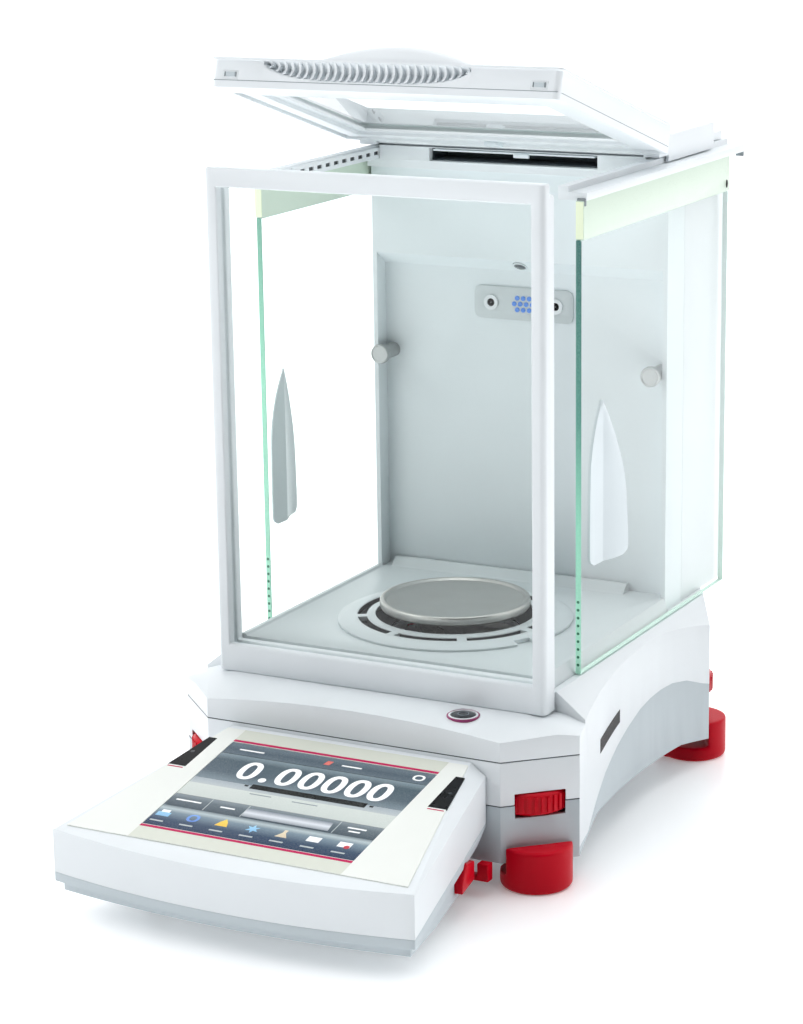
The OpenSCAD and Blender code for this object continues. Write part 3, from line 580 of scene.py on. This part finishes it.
def door_trim(side):
    """Ends and a stop on the hanger, tabs and a dark strip that paints the shade of the rail's slots, dots on
    the pane's front edge.
    """
    sign = SIDES[side]
    body = f"door_{side}"
    low, high = box_mm(f"door_{side}_hanger")
    bm = bmesh.new()
    for y in (low[1], high[1]):
        add_box(bm, (sign * 90.2, y - 0.3, 311.5), (sign * 94.1, y + 0.3, 329.6))
    place(bm, f"door_{side}_hanger_ends", ["hanger_end"], body, bevel=0.12)
    bm = bmesh.new()
    rail_low, rail_high = box_mm(f"door_{side}_rail")
    for y in (rail_low[1], rail_high[1]):
        add_box(bm, (sign * 90.4, y - 0.8, 327.4), (sign * 94.9, y + 0.8, 331.2))
    place(bm, f"door_{side}_rail_tabs", ["latch_grey"], body, bevel=0.3)
    bm = bmesh.new()
    # A dark strip paints the shade in the rail's row of slots.
    add_box(bm, (sign * 80.05, rail_low[1] + 18, 331.7), (sign * 79.6, rail_low[1] + 150, 334.3))
    place(bm, f"door_{side}_rail_slot_shade", ["well_dark"], body, smooth=False)
    bm = bmesh.new()
    stop = P(sign * 94.35, high[1] - 4.6, 315.2)
    add_lathe(bm, stop, (sign, 0, 0), [(0, 0), (2.2, 0), (2.2, 0.25), (1.7, 0.45), (0, 0.45)], 24)
    for vert in bm.verts:  # the stop is half as wide as it is tall
        vert.co.y = (vert.co.y + stop.y) / 2
    place(bm, f"door_{side}_stop", ["window_black"], body)
    pane_low, pane_high = box_mm(f"door_{side}_glass")
    bm = bmesh.new()
    middle = (pane_low[0] + pane_high[0]) / 2
    for k in range(9):
        add_lathe(bm, P(middle, pane_low[1] - 0.02, 96 + 4.1 * k), FRONT,
                  [(0, 0), (0.75, 0), (0.75, 0.04), (0, 0.04)], 12)
    place(bm, f"door_{side}_edge_dots", ["dot_green"], body, smooth=False)


for side in SIDES:
    sail_handle(side)
    door_trim(side)


# ---- Lid -----------------------------------------------------------------------------------------

LID_TOP, LIP = 352.5, 1.2
GRIP_X, GRIP_HALF, GRIP_TOP, GRIP_DEPTH = -9.0, 57.0, LID_TOP - LIP, 9.0
HUMP_X, HUMP_Y, HUMP_HALF_X, HUMP_HALF_Y, HUMP_RISE = 6.0, 17.0, 42.0, 9.6, 9.0


def grip_depth(x):
    """How far the grip reaches down at x, from its straight top edge."""
    u = min(1.0, abs(x - GRIP_X) / GRIP_HALF)
    return GRIP_DEPTH * (1 - u ** 4) ** 0.6


def lid_grip():
    """A scooped bed, and ribs across it that follow the scoop."""
    bm = bmesh.new()
    across, down = 76, 12
    bed_height = 9.3
    front, back = [], []
    for i in range(across + 1):
        x = GRIP_X - GRIP_HALF + 2 * GRIP_HALF * i / across
        depth = max(grip_depth(x), 0.05)
        front.append([])
        back.append([])
        for k in range(down + 1):
            z = GRIP_TOP - bed_height * k / down
            t = (GRIP_TOP - z) / depth
            scoop = math.sin(math.pi * t) ** 0.6 if 0 < t < 1 else 0.0
            front[-1].append(P(x, 7.46 + 4.8 * scoop, z))
            back[-1].append(P(x, 14.4, z))
    add_sheet(bm, front, back)
    place(bm, "lid_grip_bed", ["shell_white"], "lid", ("lid_grip",), turn=LID_TURN, sharp=60)
    bm = bmesh.new()
    steps = 9
    ribs, rib_pitch, rib_width, shortest_rib = 28, 4.0, 1.5, 1.2
    for i in range(ribs):
        x = GRIP_X - GRIP_HALF + 3.0 + rib_pitch * i
        tall = grip_depth(x) - 0.3
        if tall < shortest_rib:
            continue
        outline = [P(x, 7.1 + 2.4 * math.sin(math.pi * k / steps), GRIP_TOP - tall * k / steps)
                   for k in range(steps + 1)]
        outline += [P(x, 13.0, GRIP_TOP - tall), P(x, 13.0, GRIP_TOP)]
        add_slab(bm, outline, Vector((rib_width * MM, 0, 0)))
    place(bm, "lid_grip_ribs", ["shell_white"], "lid", bevel=0.22, turn=LID_TURN)


def lid_hump():
    """The shallow dome behind the grip."""
    bm = bmesh.new()
    across, deep = 48, 18
    top, bottom = [], []
    for i in range(across + 1):
        u = -1 + 2 * i / across
        top.append([])
        bottom.append([])
        for j in range(deep + 1):
            v = -1 + 2 * j / deep
            x, y = HUMP_X + HUMP_HALF_X * u, HUMP_Y + HUMP_HALF_Y * v
            height = HUMP_RISE * (1 - u * u) ** 0.9 * (1 - v ** 4) ** 0.55
            top[-1].append(P(x, y, LID_TOP + 0.02 + height))
            bottom[-1].append(P(x, y, LID_TOP - 0.6))
    add_sheet(bm, top, bottom)
    place(bm, "lid_hump", ["shell_white"], "lid", turn=LID_TURN, sharp=60)


def lid_trim():
    """Latch tabs, the seam along the front, the frame round the pane's underside and the catch."""
    bm = bmesh.new()
    for sign in SIDES.values():
        x = sign * 84.5
        add_box(bm, (x - 4.4, 7.45, 342.1), (x + 4.4, 9.0, 345.9))
        add_box(bm, (x - 2.6, 7.1, 343.0), (x + 2.6, 7.6, 345.2), 1)
        for end in (-3.1, 3.1):
            add_box(bm, (x + end - 0.3, 7.0, 342.9), (x + end + 0.3, 7.6, 345.3), 2)
    place(bm, "lid_latch_tabs", ["shell_white", "shell_grey", "latch_grey"], "lid",
          ("lid_latches",), bevel=0.12, turn=LID_TURN)
    bm = bmesh.new()
    add_box(bm, (-94.4, 7.44, 341.0), (94.4, 7.8, 341.3))
    for sign in SIDES.values():
        add_box(bm, (sign * 95.04, 10.5, 341.0), (sign * 94.6, 148, 341.3))
    place(bm, "lid_seam", ["seam_grey"], "lid", smooth=False, turn=LID_TURN)
    bm = bmesh.new()
    # The inner frame's section: half width, front, rear and height
    section = [(90, 24.5, 146, 340.0), (90, 24.5, 146, 338.7), (79, 29.5, 135.5, 338.0),
               (78.5, 29.0, 136, 341.4)]
    rings = []
    for half, y0, y1, z in section:
        corners = ((-half, y0), (half, y0), (half, y1), (-half, y1))
        rings.append([bm.verts.new(P(x, y, z)) for x, y in corners])
    for a, b in zip(rings, rings[1:] + rings[:1]):
        for k in range(4):
            m = (k + 1) % 4
            bm.faces.new((a[k], a[m], b[m], b[k]))
    place(bm, "lid_inner_frame", ["shell_white"], "lid", bevel=0.5, turn=LID_TURN)
    bm = bmesh.new()
    add_box(bm, (-5, 138.5, 335.9), (4, 143.5, 338.6))
    add_box(bm, (-3.2, 137.8, 336.5), (2.2, 138.7, 337.7))
    place(bm, "lid_catch", ["handle_white"], "lid", bevel=0.35, turn=LID_TURN)


lid_grip()
lid_hump()
lid_trim()


# ---- Terminal ------------------------------------------------------------------------------------

def on_screen(u, v, w):
    """A point on the screen's plane: u to the right, v towards the back, w out of the plane."""
    return SCREEN @ Vector((u * MM, v * MM, w * MM))


def screen_slab(bm, points, w_low, w_high, index):
    """A flat shape on the screen, between two heights."""
    lift = (SCREEN.to_3x3() @ Vector((0, 0, 1))) * (w_high - w_low) * MM
    add_slab(bm, [on_screen(u, v, w_low) for u, v in points], lift, index)


def screen_bar(bm, u0, u1, v0, v1, w_low, w_high, index, slant=0.0):
    """A bar on the screen; slant moves its far edge sideways."""
    points = [(u0, v0), (u1, v0), (u1 + slant, v1), (u0 + slant, v1)]
    screen_slab(bm, points, w_low, w_high, index)


def zero(bm, u, v, width, height, stroke, w_low, w_high, index):
    """A bold zero: a ring between two rounded outlines."""
    steps = 40
    loops = []
    for half_w, half_h in ((width / 2, height / 2), (width / 2 - stroke, height / 2 - stroke * 0.78)):
        for w in (w_low, w_high):
            loop = []
            for k in range(steps):
                a = 2 * math.pi * k / steps
                c, s = math.cos(a), math.sin(a)
                x = half_w * math.copysign(abs(c) ** 0.85, c)
                y = half_h * math.copysign(abs(s) ** 0.85, s)
                loop.append(bm.verts.new(on_screen(u + x, v + y, w)))
            loops.append(loop)
    outer_low, outer_high, inner_low, inner_high = loops
    for a, b in ((outer_low, outer_high), (outer_high, inner_high), (inner_high, inner_low),
                 (inner_low, outer_low)):
        for k in range(steps):
            m = (k + 1) % steps
            bm.faces.new((a[k], a[m], b[m], b[k])).material_index = index


def dot(bm, u, v, r, w_low, w_high, index, steps=20):
    """A disc on the screen."""
    points = [(u + r * math.cos(2 * math.pi * k / steps), v + r * math.sin(2 * math.pi * k / steps))
              for k in range(steps)]
    screen_slab(bm, points, w_low, w_high, index)


SCREEN_HALF_U, SCREEN_HALF_V = 57.6, 43.2
FACE = -0.2  # the lit face, below the overlay film
DIGIT_PLACES = [-33.5, -12.0, 1.0, 13.9, 26.7, 39.0]
DIGIT_V, DIGIT_WIDTH, DIGIT_HEIGHT, DIGIT_STROKE = 18.8, 11.2, 17.2, 3.3
ICON_PITCH = 16.5


def screen_picture():
    """The lit screen: bars, a row of zeros, a level bar, two rows of keys and seven plain icons."""
    # Each area's near edge, far edge and shades between them
    areas = {
        "lit_header": (31, 43.2, [(0, rgb(96, 110, 120)), (0.5, rgb(76, 90, 102)), (1, rgb(104, 118, 128))]),
        "lit_reading": (5, 31, [(0, rgb(124, 138, 146)), (0.35, rgb(80, 95, 106)), (0.8, rgb(72, 88, 98)),
                                (1, rgb(122, 138, 146))]),
        "lit_band": (-1, 6, [(0, rgb(186, 193, 194)), (1, rgb(160, 170, 178))]),
        "lit_sheet": (-12, 1, [(0, rgb(196, 203, 199)), (1, rgb(204, 210, 206))]),
        "lit_key": (-23, -11, [(0, rgb(70, 82, 92)), (0.6, rgb(96, 108, 116)), (1, rgb(140, 150, 156))]),
        "lit_silver": (-22, -15, [(0, rgb(150, 158, 166)), (0.5, rgb(214, 218, 224)),
                                  (1, rgb(140, 148, 158))]),
        "lit_dock": (-43.2, -23, [(0, rgb(40, 56, 82)), (0.35, rgb(56, 74, 98)), (0.7, rgb(120, 138, 150)),
                                  (0.85, rgb(176, 188, 192)), (1, rgb(90, 104, 114))]),
        "lit_white": (-44, 44, [(0, rgb(250, 251, 252)), (1, rgb(255, 255, 255))]),
        "lit_black": (-44, 44, [(0, rgb(8, 10, 12)), (1, rgb(16, 18, 20))]),
        "lit_sky": (-44, -20, [(0, rgb(60, 140, 200)), (1, rgb(190, 230, 246))]),
        "lit_blue": (-44, -20, [(0, rgb(40, 90, 190)), (1, rgb(150, 190, 240))]),
        "lit_yellow": (-44, -20, [(0, rgb(226, 160, 30)), (1, rgb(250, 226, 110))]),
        "lit_cream": (-44, -20, [(0, rgb(190, 170, 140)), (1, rgb(240, 230, 205))]),
        "lit_red": (-44, 44, [(0, rgb(190, 50, 70)), (1, rgb(226, 120, 110))]),
    }
    names = list(areas)
    slots = [lit_panel(name, low, high, stops) for name, (low, high, stops) in areas.items()]
    index = {name[4:]: k for k, name in enumerate(names)}
    bm = bmesh.new()
    left, right = -SCREEN_HALF_U + 0.1, SCREEN_HALF_U - 0.1
    screen_bar(bm, left, right, -SCREEN_HALF_V + 0.1, SCREEN_HALF_V - 0.1, -5.4, FACE - 0.1, index["black"])
    for name, v0, v1 in (("header", 32.2, 43.0), ("reading", 6.2, 31.8), ("band", 0.4, 6.0),
                         ("sheet", -11.6, 0.4), ("key", -23.2, -11.8), ("dock", -43.0, -23.4)):
        screen_bar(bm, left, right, v0, v1, FACE - 0.12, FACE, index[name])
    low, high = FACE - 0.02, FACE + 0.08
    for u in DIGIT_PLACES:
        zero(bm, u, DIGIT_V, DIGIT_WIDTH, DIGIT_HEIGHT, DIGIT_STROKE, low, high, index["white"])
    dot(bm, -22.9, 12.0, 2.1, low, high, index["white"])
    screen_bar(bm, -25, 38.5, 3.0, 7.2, low, high, index["black"])
    for u in (-27.6, 41.4):
        screen_bar(bm, u - 1.0, u + 1.0, 4.4, 5.6, low, high, index["black"])
    for u0, u1, v in ((-22, -10, -1.6), (2, 16, -2.4)):
        screen_bar(bm, u0, u1, v - 0.35, v + 0.35, low, high, index["key"])
    screen_bar(bm, -14.6, 32.4, -22.2, -14.6, low, high, index["silver"], slant=-1.0)
    for u0, u1, v in ((-54, -40, -17.2), (-29, -21, -17.6), (40, 50, -16.2), (42, 48, -19.2),
                      (-50, -36, 37.2), (8, 19, 37.4)):
        screen_bar(bm, u0, u1, v - 0.55, v + 0.55, low, high, index["white"])
    for u in (-36.2, -15.4, 34.6):
        screen_bar(bm, u, u + 0.4, -23.0, -12.2, low, high, index["band"])
    screen_bar(bm, -1.6, 1.6, 35.8, 39.6, low, high, index["red"], slant=0.8)
    zero(bm, 50.5, 37.4, 6.4, 5.4, 1.2, low, high, index["white"])
    colors = ["sky", "blue", "yellow", "sky", "cream", "white", "white"]
    for k, color in enumerate(colors):
        u = -52.4 + ICON_PITCH * k
        icon(bm, k, u, -31.5, low, high, index[color], index)
        screen_bar(bm, u - 3.6, u + 3.6, -39.0, -38.0, low, high, index["band"])
    place(bm, "screen_picture", slots, "terminal", ("terminal_display",), smooth=False)


def icon(bm, kind, u, v, low, high, color, index):
    """Seven plain shapes: printer, ring, bell, star, flask, page and page with a mark."""
    if kind == 0:
        screen_bar(bm, u - 3.6, u + 3.6, v - 2.4, v + 1.2, low, high, color)
        screen_bar(bm, u - 2.2, u + 2.2, v + 1.2, v + 3.4, low, high, index["white"])
    elif kind == 1:
        zero(bm, u, v, 6.6, 6.6, 1.5, low, high, color)
    elif kind == 2:
        points = [(u - 3.4, v - 2.4), (u + 3.4, v - 2.4), (u + 2.0, v + 1.4), (u, v + 4.2),
                  (u - 2.0, v + 1.4)]
        screen_slab(bm, points, low, high, color)
    elif kind == 3:
        points = [(u + r * math.cos(math.pi * k / 6), v + r * math.sin(math.pi * k / 6))
                  for k, r in enumerate([1.7, 3.8] * 6)]
        screen_slab(bm, points, low, high, color)
    elif kind == 4:
        points = [(u - 3.2, v - 2.8), (u + 3.2, v - 2.8), (u + 0.9, v + 1.2), (u + 0.9, v + 3.8),
                  (u - 0.9, v + 3.8), (u - 0.9, v + 1.2)]
        screen_slab(bm, points, low, high, color)
    else:
        screen_bar(bm, u - 3.4, u + 3.4, v - 2.0, v + 2.4, low, high, color)
        if kind == 6:
            dot(bm, u + 1.8, v - 1.6, 1.5, high, high + 0.05, index["red"])


def overlay_print():
    """Crimson rules and grey-green strips by the screen, lines under the sensors and spots in them."""
    bm = bmesh.new()
    for v0, v1 in ((45.6, 55.9), (-55.9, -45.6)):
        screen_bar(bm, -SCREEN_HALF_U, SCREEN_HALF_U, v0, v1, -0.1, 0.05, 0)
    for v0, v1 in ((43.6, 45.5), (-45.5, -43.6)):
        screen_bar(bm, -SCREEN_HALF_U, SCREEN_HALF_U, v0, v1, -0.1, 0.07, 1)
    for sign in SIDES.values():
        screen_bar(bm, sign * 72.4 - 4.4, sign * 72.4 + 4.4, 11.0, 11.9, -0.1, 0.05, 1)
    place(bm, "overlay_print", ["overlay_strip", "crimson_print"], "terminal", smooth=False)
    bm = bmesh.new()
    for sign in SIDES.values():
        dot(bm, sign * 72.2, 28, 1.1, 0.0, 0.06, 0)
    place(bm, "sensor_spots", ["vial_dark"], "terminal", smooth=False)


screen_picture()
overlay_print()


# ---- Base ----------------------------------------------------------------------------------------

def bubble_level():
    """A white collar inside the purple ring, and a glossy dome with a bubble ring in it."""
    bm = bmesh.new()
    centre = P(54, -11, 80.3)
    add_lathe(bm, centre, UP, [(6.5, 0), (7.5, 0), (7.5, 0.45), (6.5, 0.55)], 48, 0)
    dome = [(0, -1), (6.4, -1), (6.4, 0.1), (5.4, 0.5), (3.4, 0.85), (0, 1.0)]
    add_lathe(bm, centre, UP, dome, 48, 1)
    add_lathe(bm, centre, UP, [(2.5, 0.8), (2.9, 0.8), (2.9, 1.0), (2.5, 1.05)], 32, 2)
    place(bm, "bubble_level", ["shell_white", "vial_dark", "seam_grey"], "base", ("bubble_vial",),
          sharp=50)


def ring_painted_shade():
    """A dark disc that paints the shade under the draft ring, and dark sheets that paint the shade on the
    walls of its slots.
    """
    bm = bmesh.new()
    add_lathe(bm, P(0, PAN_Y, 0), UP, [(34.5, 91.0), (55.6, 91.0), (55.6, 91.8), (34.5, 91.8)], 72)
    place(bm, "ring_painted_shade", ["well_dark"], "base")
    bm = bmesh.new()
    half_slot, foot, top = 19.3, 97.4, 99.75
    for slot in range(8):
        middle = 45 * slot + 8
        turns = [math.radians(middle + half_slot * k / 10) for k in range(-10, 11)]
        for radii in ((47.02, 47.15), (51.85, 51.98)):
            skins = [[[P(r * math.cos(a), PAN_Y + r * math.sin(a), z) for a in turns] for z in (foot, top)]
                     for r in radii]
            add_sheet(bm, *skins)
    place(bm, "ring_slot_painted_shade", ["well_dark"], "draft_ring", smooth=False)


def base_seams():
    """Dark liners in the seams above and below the front band, left out where the wheels look out."""
    bm = bmesh.new()
    middle, start, end = Vector((0, -29.4)), Vector((82.9, -29.4)), Vector((112.5, -1.3))
    upper_z, lower_z, half_gap = 65.5, 42.8, 0.26
    facet = [start.lerp(end, t) for t in (0, 0.17, 0.83, 1)]
    for sign in SIDES.values():
        for z, run in ((upper_z, [middle, start, end]), (lower_z, [middle, *facet[:2]]),
                       (lower_z, facet[2:])):
            skins = [[[P(sign * p.x * narrow, p.y + push, z + lift) for p in run]
                      for narrow, push in ((1, -0.04), (0.98, 1.5))] for lift in (half_gap, -half_gap)]
            add_sheet(bm, *skins)
    place(bm, "base_seams", ["seam_dark"], "base", smooth=False)


def rubber_foot(end, side):
    """A moulded foot: the plain foot with every edge rounded over."""
    node_name = f"foot_{end}_{side}"
    source = nodes[node_name]
    piece = bpy.data.objects.new(f"rubber_{node_name}", source.data.copy())
    scene.collection.objects.link(piece)
    remesh = piece.modifiers.new("remesh", "REMESH")
    remesh.mode = "VOXEL"
    remesh.voxel_size = 0.8 * MM
    remesh.use_smooth_shade = True
    relax = piece.modifiers.new("relax", "SMOOTH")
    relax.iterations = 9
    piece.data.materials.clear()
    piece.data.materials.append(M["red_foot"])
    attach(piece, node_name)
    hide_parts(node_name)


bubble_level()
ring_painted_shade()
base_seams()
for end in ("front", "rear"):
    for side in SIDES:
        rubber_foot(end, side)


# ---- Chamber and tower ---------------------------------------------------------------------------

def thumb_screw(side):
    """A fluted knob with chamfers, on its stem."""
    bm = bmesh.new()
    low, high = box_mm(f"thumbscrew_{side}")
    centre = P((low[0] + high[0]) / 2, low[1], (low[2] + high[2]) / 2)
    profile = [(0, 0.25), (4.2, 0.25), (4.5, 0), (5.0, 0), (5.5, 0.6), (5.5, 3.5), (5.0, 4.1), (4, 4.1),
               (4, high[1] - low[1]), (0, high[1] - low[1])]
    add_lathe(bm, centre, (0, 1, 0), profile, 144, 0, flutes=36, depth=0.28)
    place(bm, f"thumbscrew_{side}_knob", ["steel_knurled"], f"thumbscrew_{side}",
          (f"thumbscrew_{side}",))


def lamp():
    """A small dark lens in a white ring, flush with the sloping wall above the recess."""
    bm = bmesh.new()
    normal = Vector((0, -7, -10)).normalized()
    centre = P(0, 171, 273.5) - normal * 0.4 * MM
    add_lathe(bm, centre, normal, [(3.3, 0), (3.9, 0), (3.9, 0.8), (3.4, 1.0)], 40, 0)
    add_lathe(bm, centre, normal, [(0, -0.6), (3.3, -0.6), (3.3, 0.6), (2.4, 1.1), (0, 1.5)], 40, 1)
    place(bm, "lamp_lens", ["wall_white", "lens_clear"], "base", ("chamber_light",))


def nozzle_tips():
    """Black discs that paint the shade deep in the bores of the ioniser's two nozzles, and a fine needle in
    each.
    """
    bm = bmesh.new()
    wall = box_mm("ionizer_nozzles")[0][1]
    for x in (-19.4, 19.4):
        add_lathe(bm, P(x, wall + 1.0, 252), FRONT, [(0, 0), (2.15, 0), (2.15, 0.4), (0, 0.4)], 32, 0)
        add_lathe(bm, P(x, wall + 0.6, 252), FRONT, [(0, 0), (0.35, 0), (0.2, 0.8), (0, 1.0)], 12, 1)
    place(bm, "nozzle_tips", ["window_black", "steel_screw"], "base")


def head_slot():
    """Dark sheets that paint the shade deep in the slot in the head, with a thin shelf across it and a small
    tab.
    """
    bm = bmesh.new()
    add_box(bm, (-47.8, 180.2, 330.1), (50.8, 181.9, 336.9))
    add_box(bm, (-47.8, 162, 330.1), (50.8, 181, 330.6))
    add_box(bm, (-47.9, 162, 330.1), (-47.4, 181, 336.9))
    add_box(bm, (50.4, 162, 330.1), (50.9, 181, 336.9))
    # seam_dark here is painted shade inside the slot.
    place(bm, "head_slot_painted_shade", ["seam_dark"], "base", smooth=False)
    bm = bmesh.new()
    add_box(bm, (-46, 159.0, 335.4), (49, 176, 336.4))
    add_box(bm, (2, 158.4, 333.6), (11, 160.2, 335.9))
    place(bm, "head_slot_shelf", ["wall_white"], "base", bevel=0.3)


for side in SIDES:
    thumb_screw(side)
lamp()
nozzle_tips()
head_slot()


# ---- Camera, floor and light ---------------------------------------------------------------------

AZIMUTH, ELEVATION, ROLL = math.radians(27.85), math.radians(14.18), math.radians(-0.87)
DISTANCE = 1.41573
TARGET = Vector((0, 0.02916 + SHIELD_Y, 0.169))


def make_camera():
    """The photograph's camera: its azimuth from the front, its height and its slight roll."""
    data = bpy.data.cameras.new("camera")
    data.sensor_width = 36.0
    data.lens = 98.16
    data.clip_start = 0.05
    data.clip_end = 50.0
    camera = bpy.data.objects.new("camera", data)
    scene.collection.objects.link(camera)
    back = Vector((math.sin(AZIMUTH) * math.cos(ELEVATION), -math.cos(AZIMUTH) * math.cos(ELEVATION),
                   math.sin(ELEVATION)))
    side = (-back).cross(Vector((0, 0, 1))).normalized()
    rise = side.cross(-back).normalized()
    right = side * math.cos(ROLL) + rise * math.sin(ROLL)
    up = rise * math.cos(ROLL) - side * math.sin(ROLL)
    turn = Matrix((right, up, back)).transposed()
    camera.matrix_world = Matrix.Translation(TARGET + back * DISTANCE) @ turn.to_4x4()
    scene.camera = camera


def floor_paint():
    """White paint with soft reflections, which glows more away from the object, where no shadow falls."""
    mat, tree, shader = new_material("floor_pale")
    cloud = noise_node(tree, 3.0, 1.0)
    link(tree, two_tone(tree, cloud.outputs["Fac"], (0.92, 0.93, 0.94), (0.93, 0.94, 0.95)),
         shader.inputs["Base Color"])
    shader.inputs["Roughness"].default_value = 0.28
    coord = tree.nodes.new("ShaderNodeTexCoord")
    distance = tree.nodes.new("ShaderNodeVectorMath")
    distance.operation = "LENGTH"
    link(tree, coord.outputs["Object"], distance.inputs[0])
    link(tree, value_range(tree, distance.outputs["Value"], 0.12, 0.6, start=0.1, end=0.42),
         shader.inputs["Emission Strength"])
    shader.inputs["Emission Color"].default_value = (1.0, 1.0, 1.0, 1.0)
    return mat


def make_floor():
    """A pale sweep: flat under the object, then curving up far behind it."""
    bm = bmesh.new()
    extent, flat_end, radius, top = 20.0, 2.5, 2.0, 12.0
    turns = [math.pi / 2 * k / 16 for k in range(1, 17)]
    profile = [(-extent, 0.0)] + [(flat_end * i / 10, 0.0) for i in range(11)]
    profile += [(flat_end + radius * math.sin(a), radius - radius * math.cos(a)) for a in turns]
    profile += [(flat_end + radius, top)]
    rows = [[bm.verts.new((x, y, z)) for y, z in profile] for x in (-extent, extent)]
    for i in range(len(profile) - 1):
        bm.faces.new((rows[0][i], rows[1][i], rows[1][i + 1], rows[0][i + 1]))
    for face in bm.faces:
        face.smooth = True
    mesh = bpy.data.meshes.new("floor")
    bm.to_mesh(mesh)
    bm.free()
    floor = bpy.data.objects.new("floor", mesh)
    scene.collection.objects.link(floor)
    mesh.materials.append(floor_paint())


def make_world():
    """An even pale room. Its strength is negative towards the front right, which takes light off the faces
    turned that way, as a black card does in a studio.
    """
    world = bpy.data.worlds.new("studio")
    scene.world = world
    world.use_nodes = True
    room = world.node_tree
    sky = room.nodes["Background"]
    sky.inputs["Color"].default_value = (0.96, 0.98, 1.0, 1)
    coord = room.nodes.new("ShaderNodeTexCoord")
    toward_card = room.nodes.new("ShaderNodeVectorMath")
    toward_card.operation = "DOT_PRODUCT"
    toward_card.inputs[1].default_value = (0.64, -0.76, 0.1)
    link(room, coord.outputs["Generated"], toward_card.inputs[0])
    link(room, value_range(room, toward_card.outputs["Value"], 0.9, -0.6, start=0.68, end=0.82),
         sky.inputs["Strength"])


def area_light(name, place_at, size, power, aim=(0, 0, 0.15)):
    """A soft box; places in metres, power in watts."""
    data = bpy.data.lights.new(name, "AREA")
    data.shape = "RECTANGLE"
    data.size, data.size_y = size
    data.energy = power
    light = bpy.data.objects.new(name, data)
    scene.collection.objects.link(light)
    light.location = place_at
    light.rotation_mode = "QUATERNION"
    light.rotation_quaternion = (Vector(aim) - Vector(place_at)).to_track_quat("-Z", "Y")


make_camera()
make_floor()
make_world()
area_light("key", (-2.2, -1.4, 2.2), (1.5, 1.5), 20)
area_light("top", (0.2, 0.3, 2.8), (2.4, 2.4), 26, aim=(0, 0, 0.1))
area_light("right", (2.4, 0.7, 1.3), (1.2, 1.6), 6)
scene.view_settings.view_transform = "Standard"
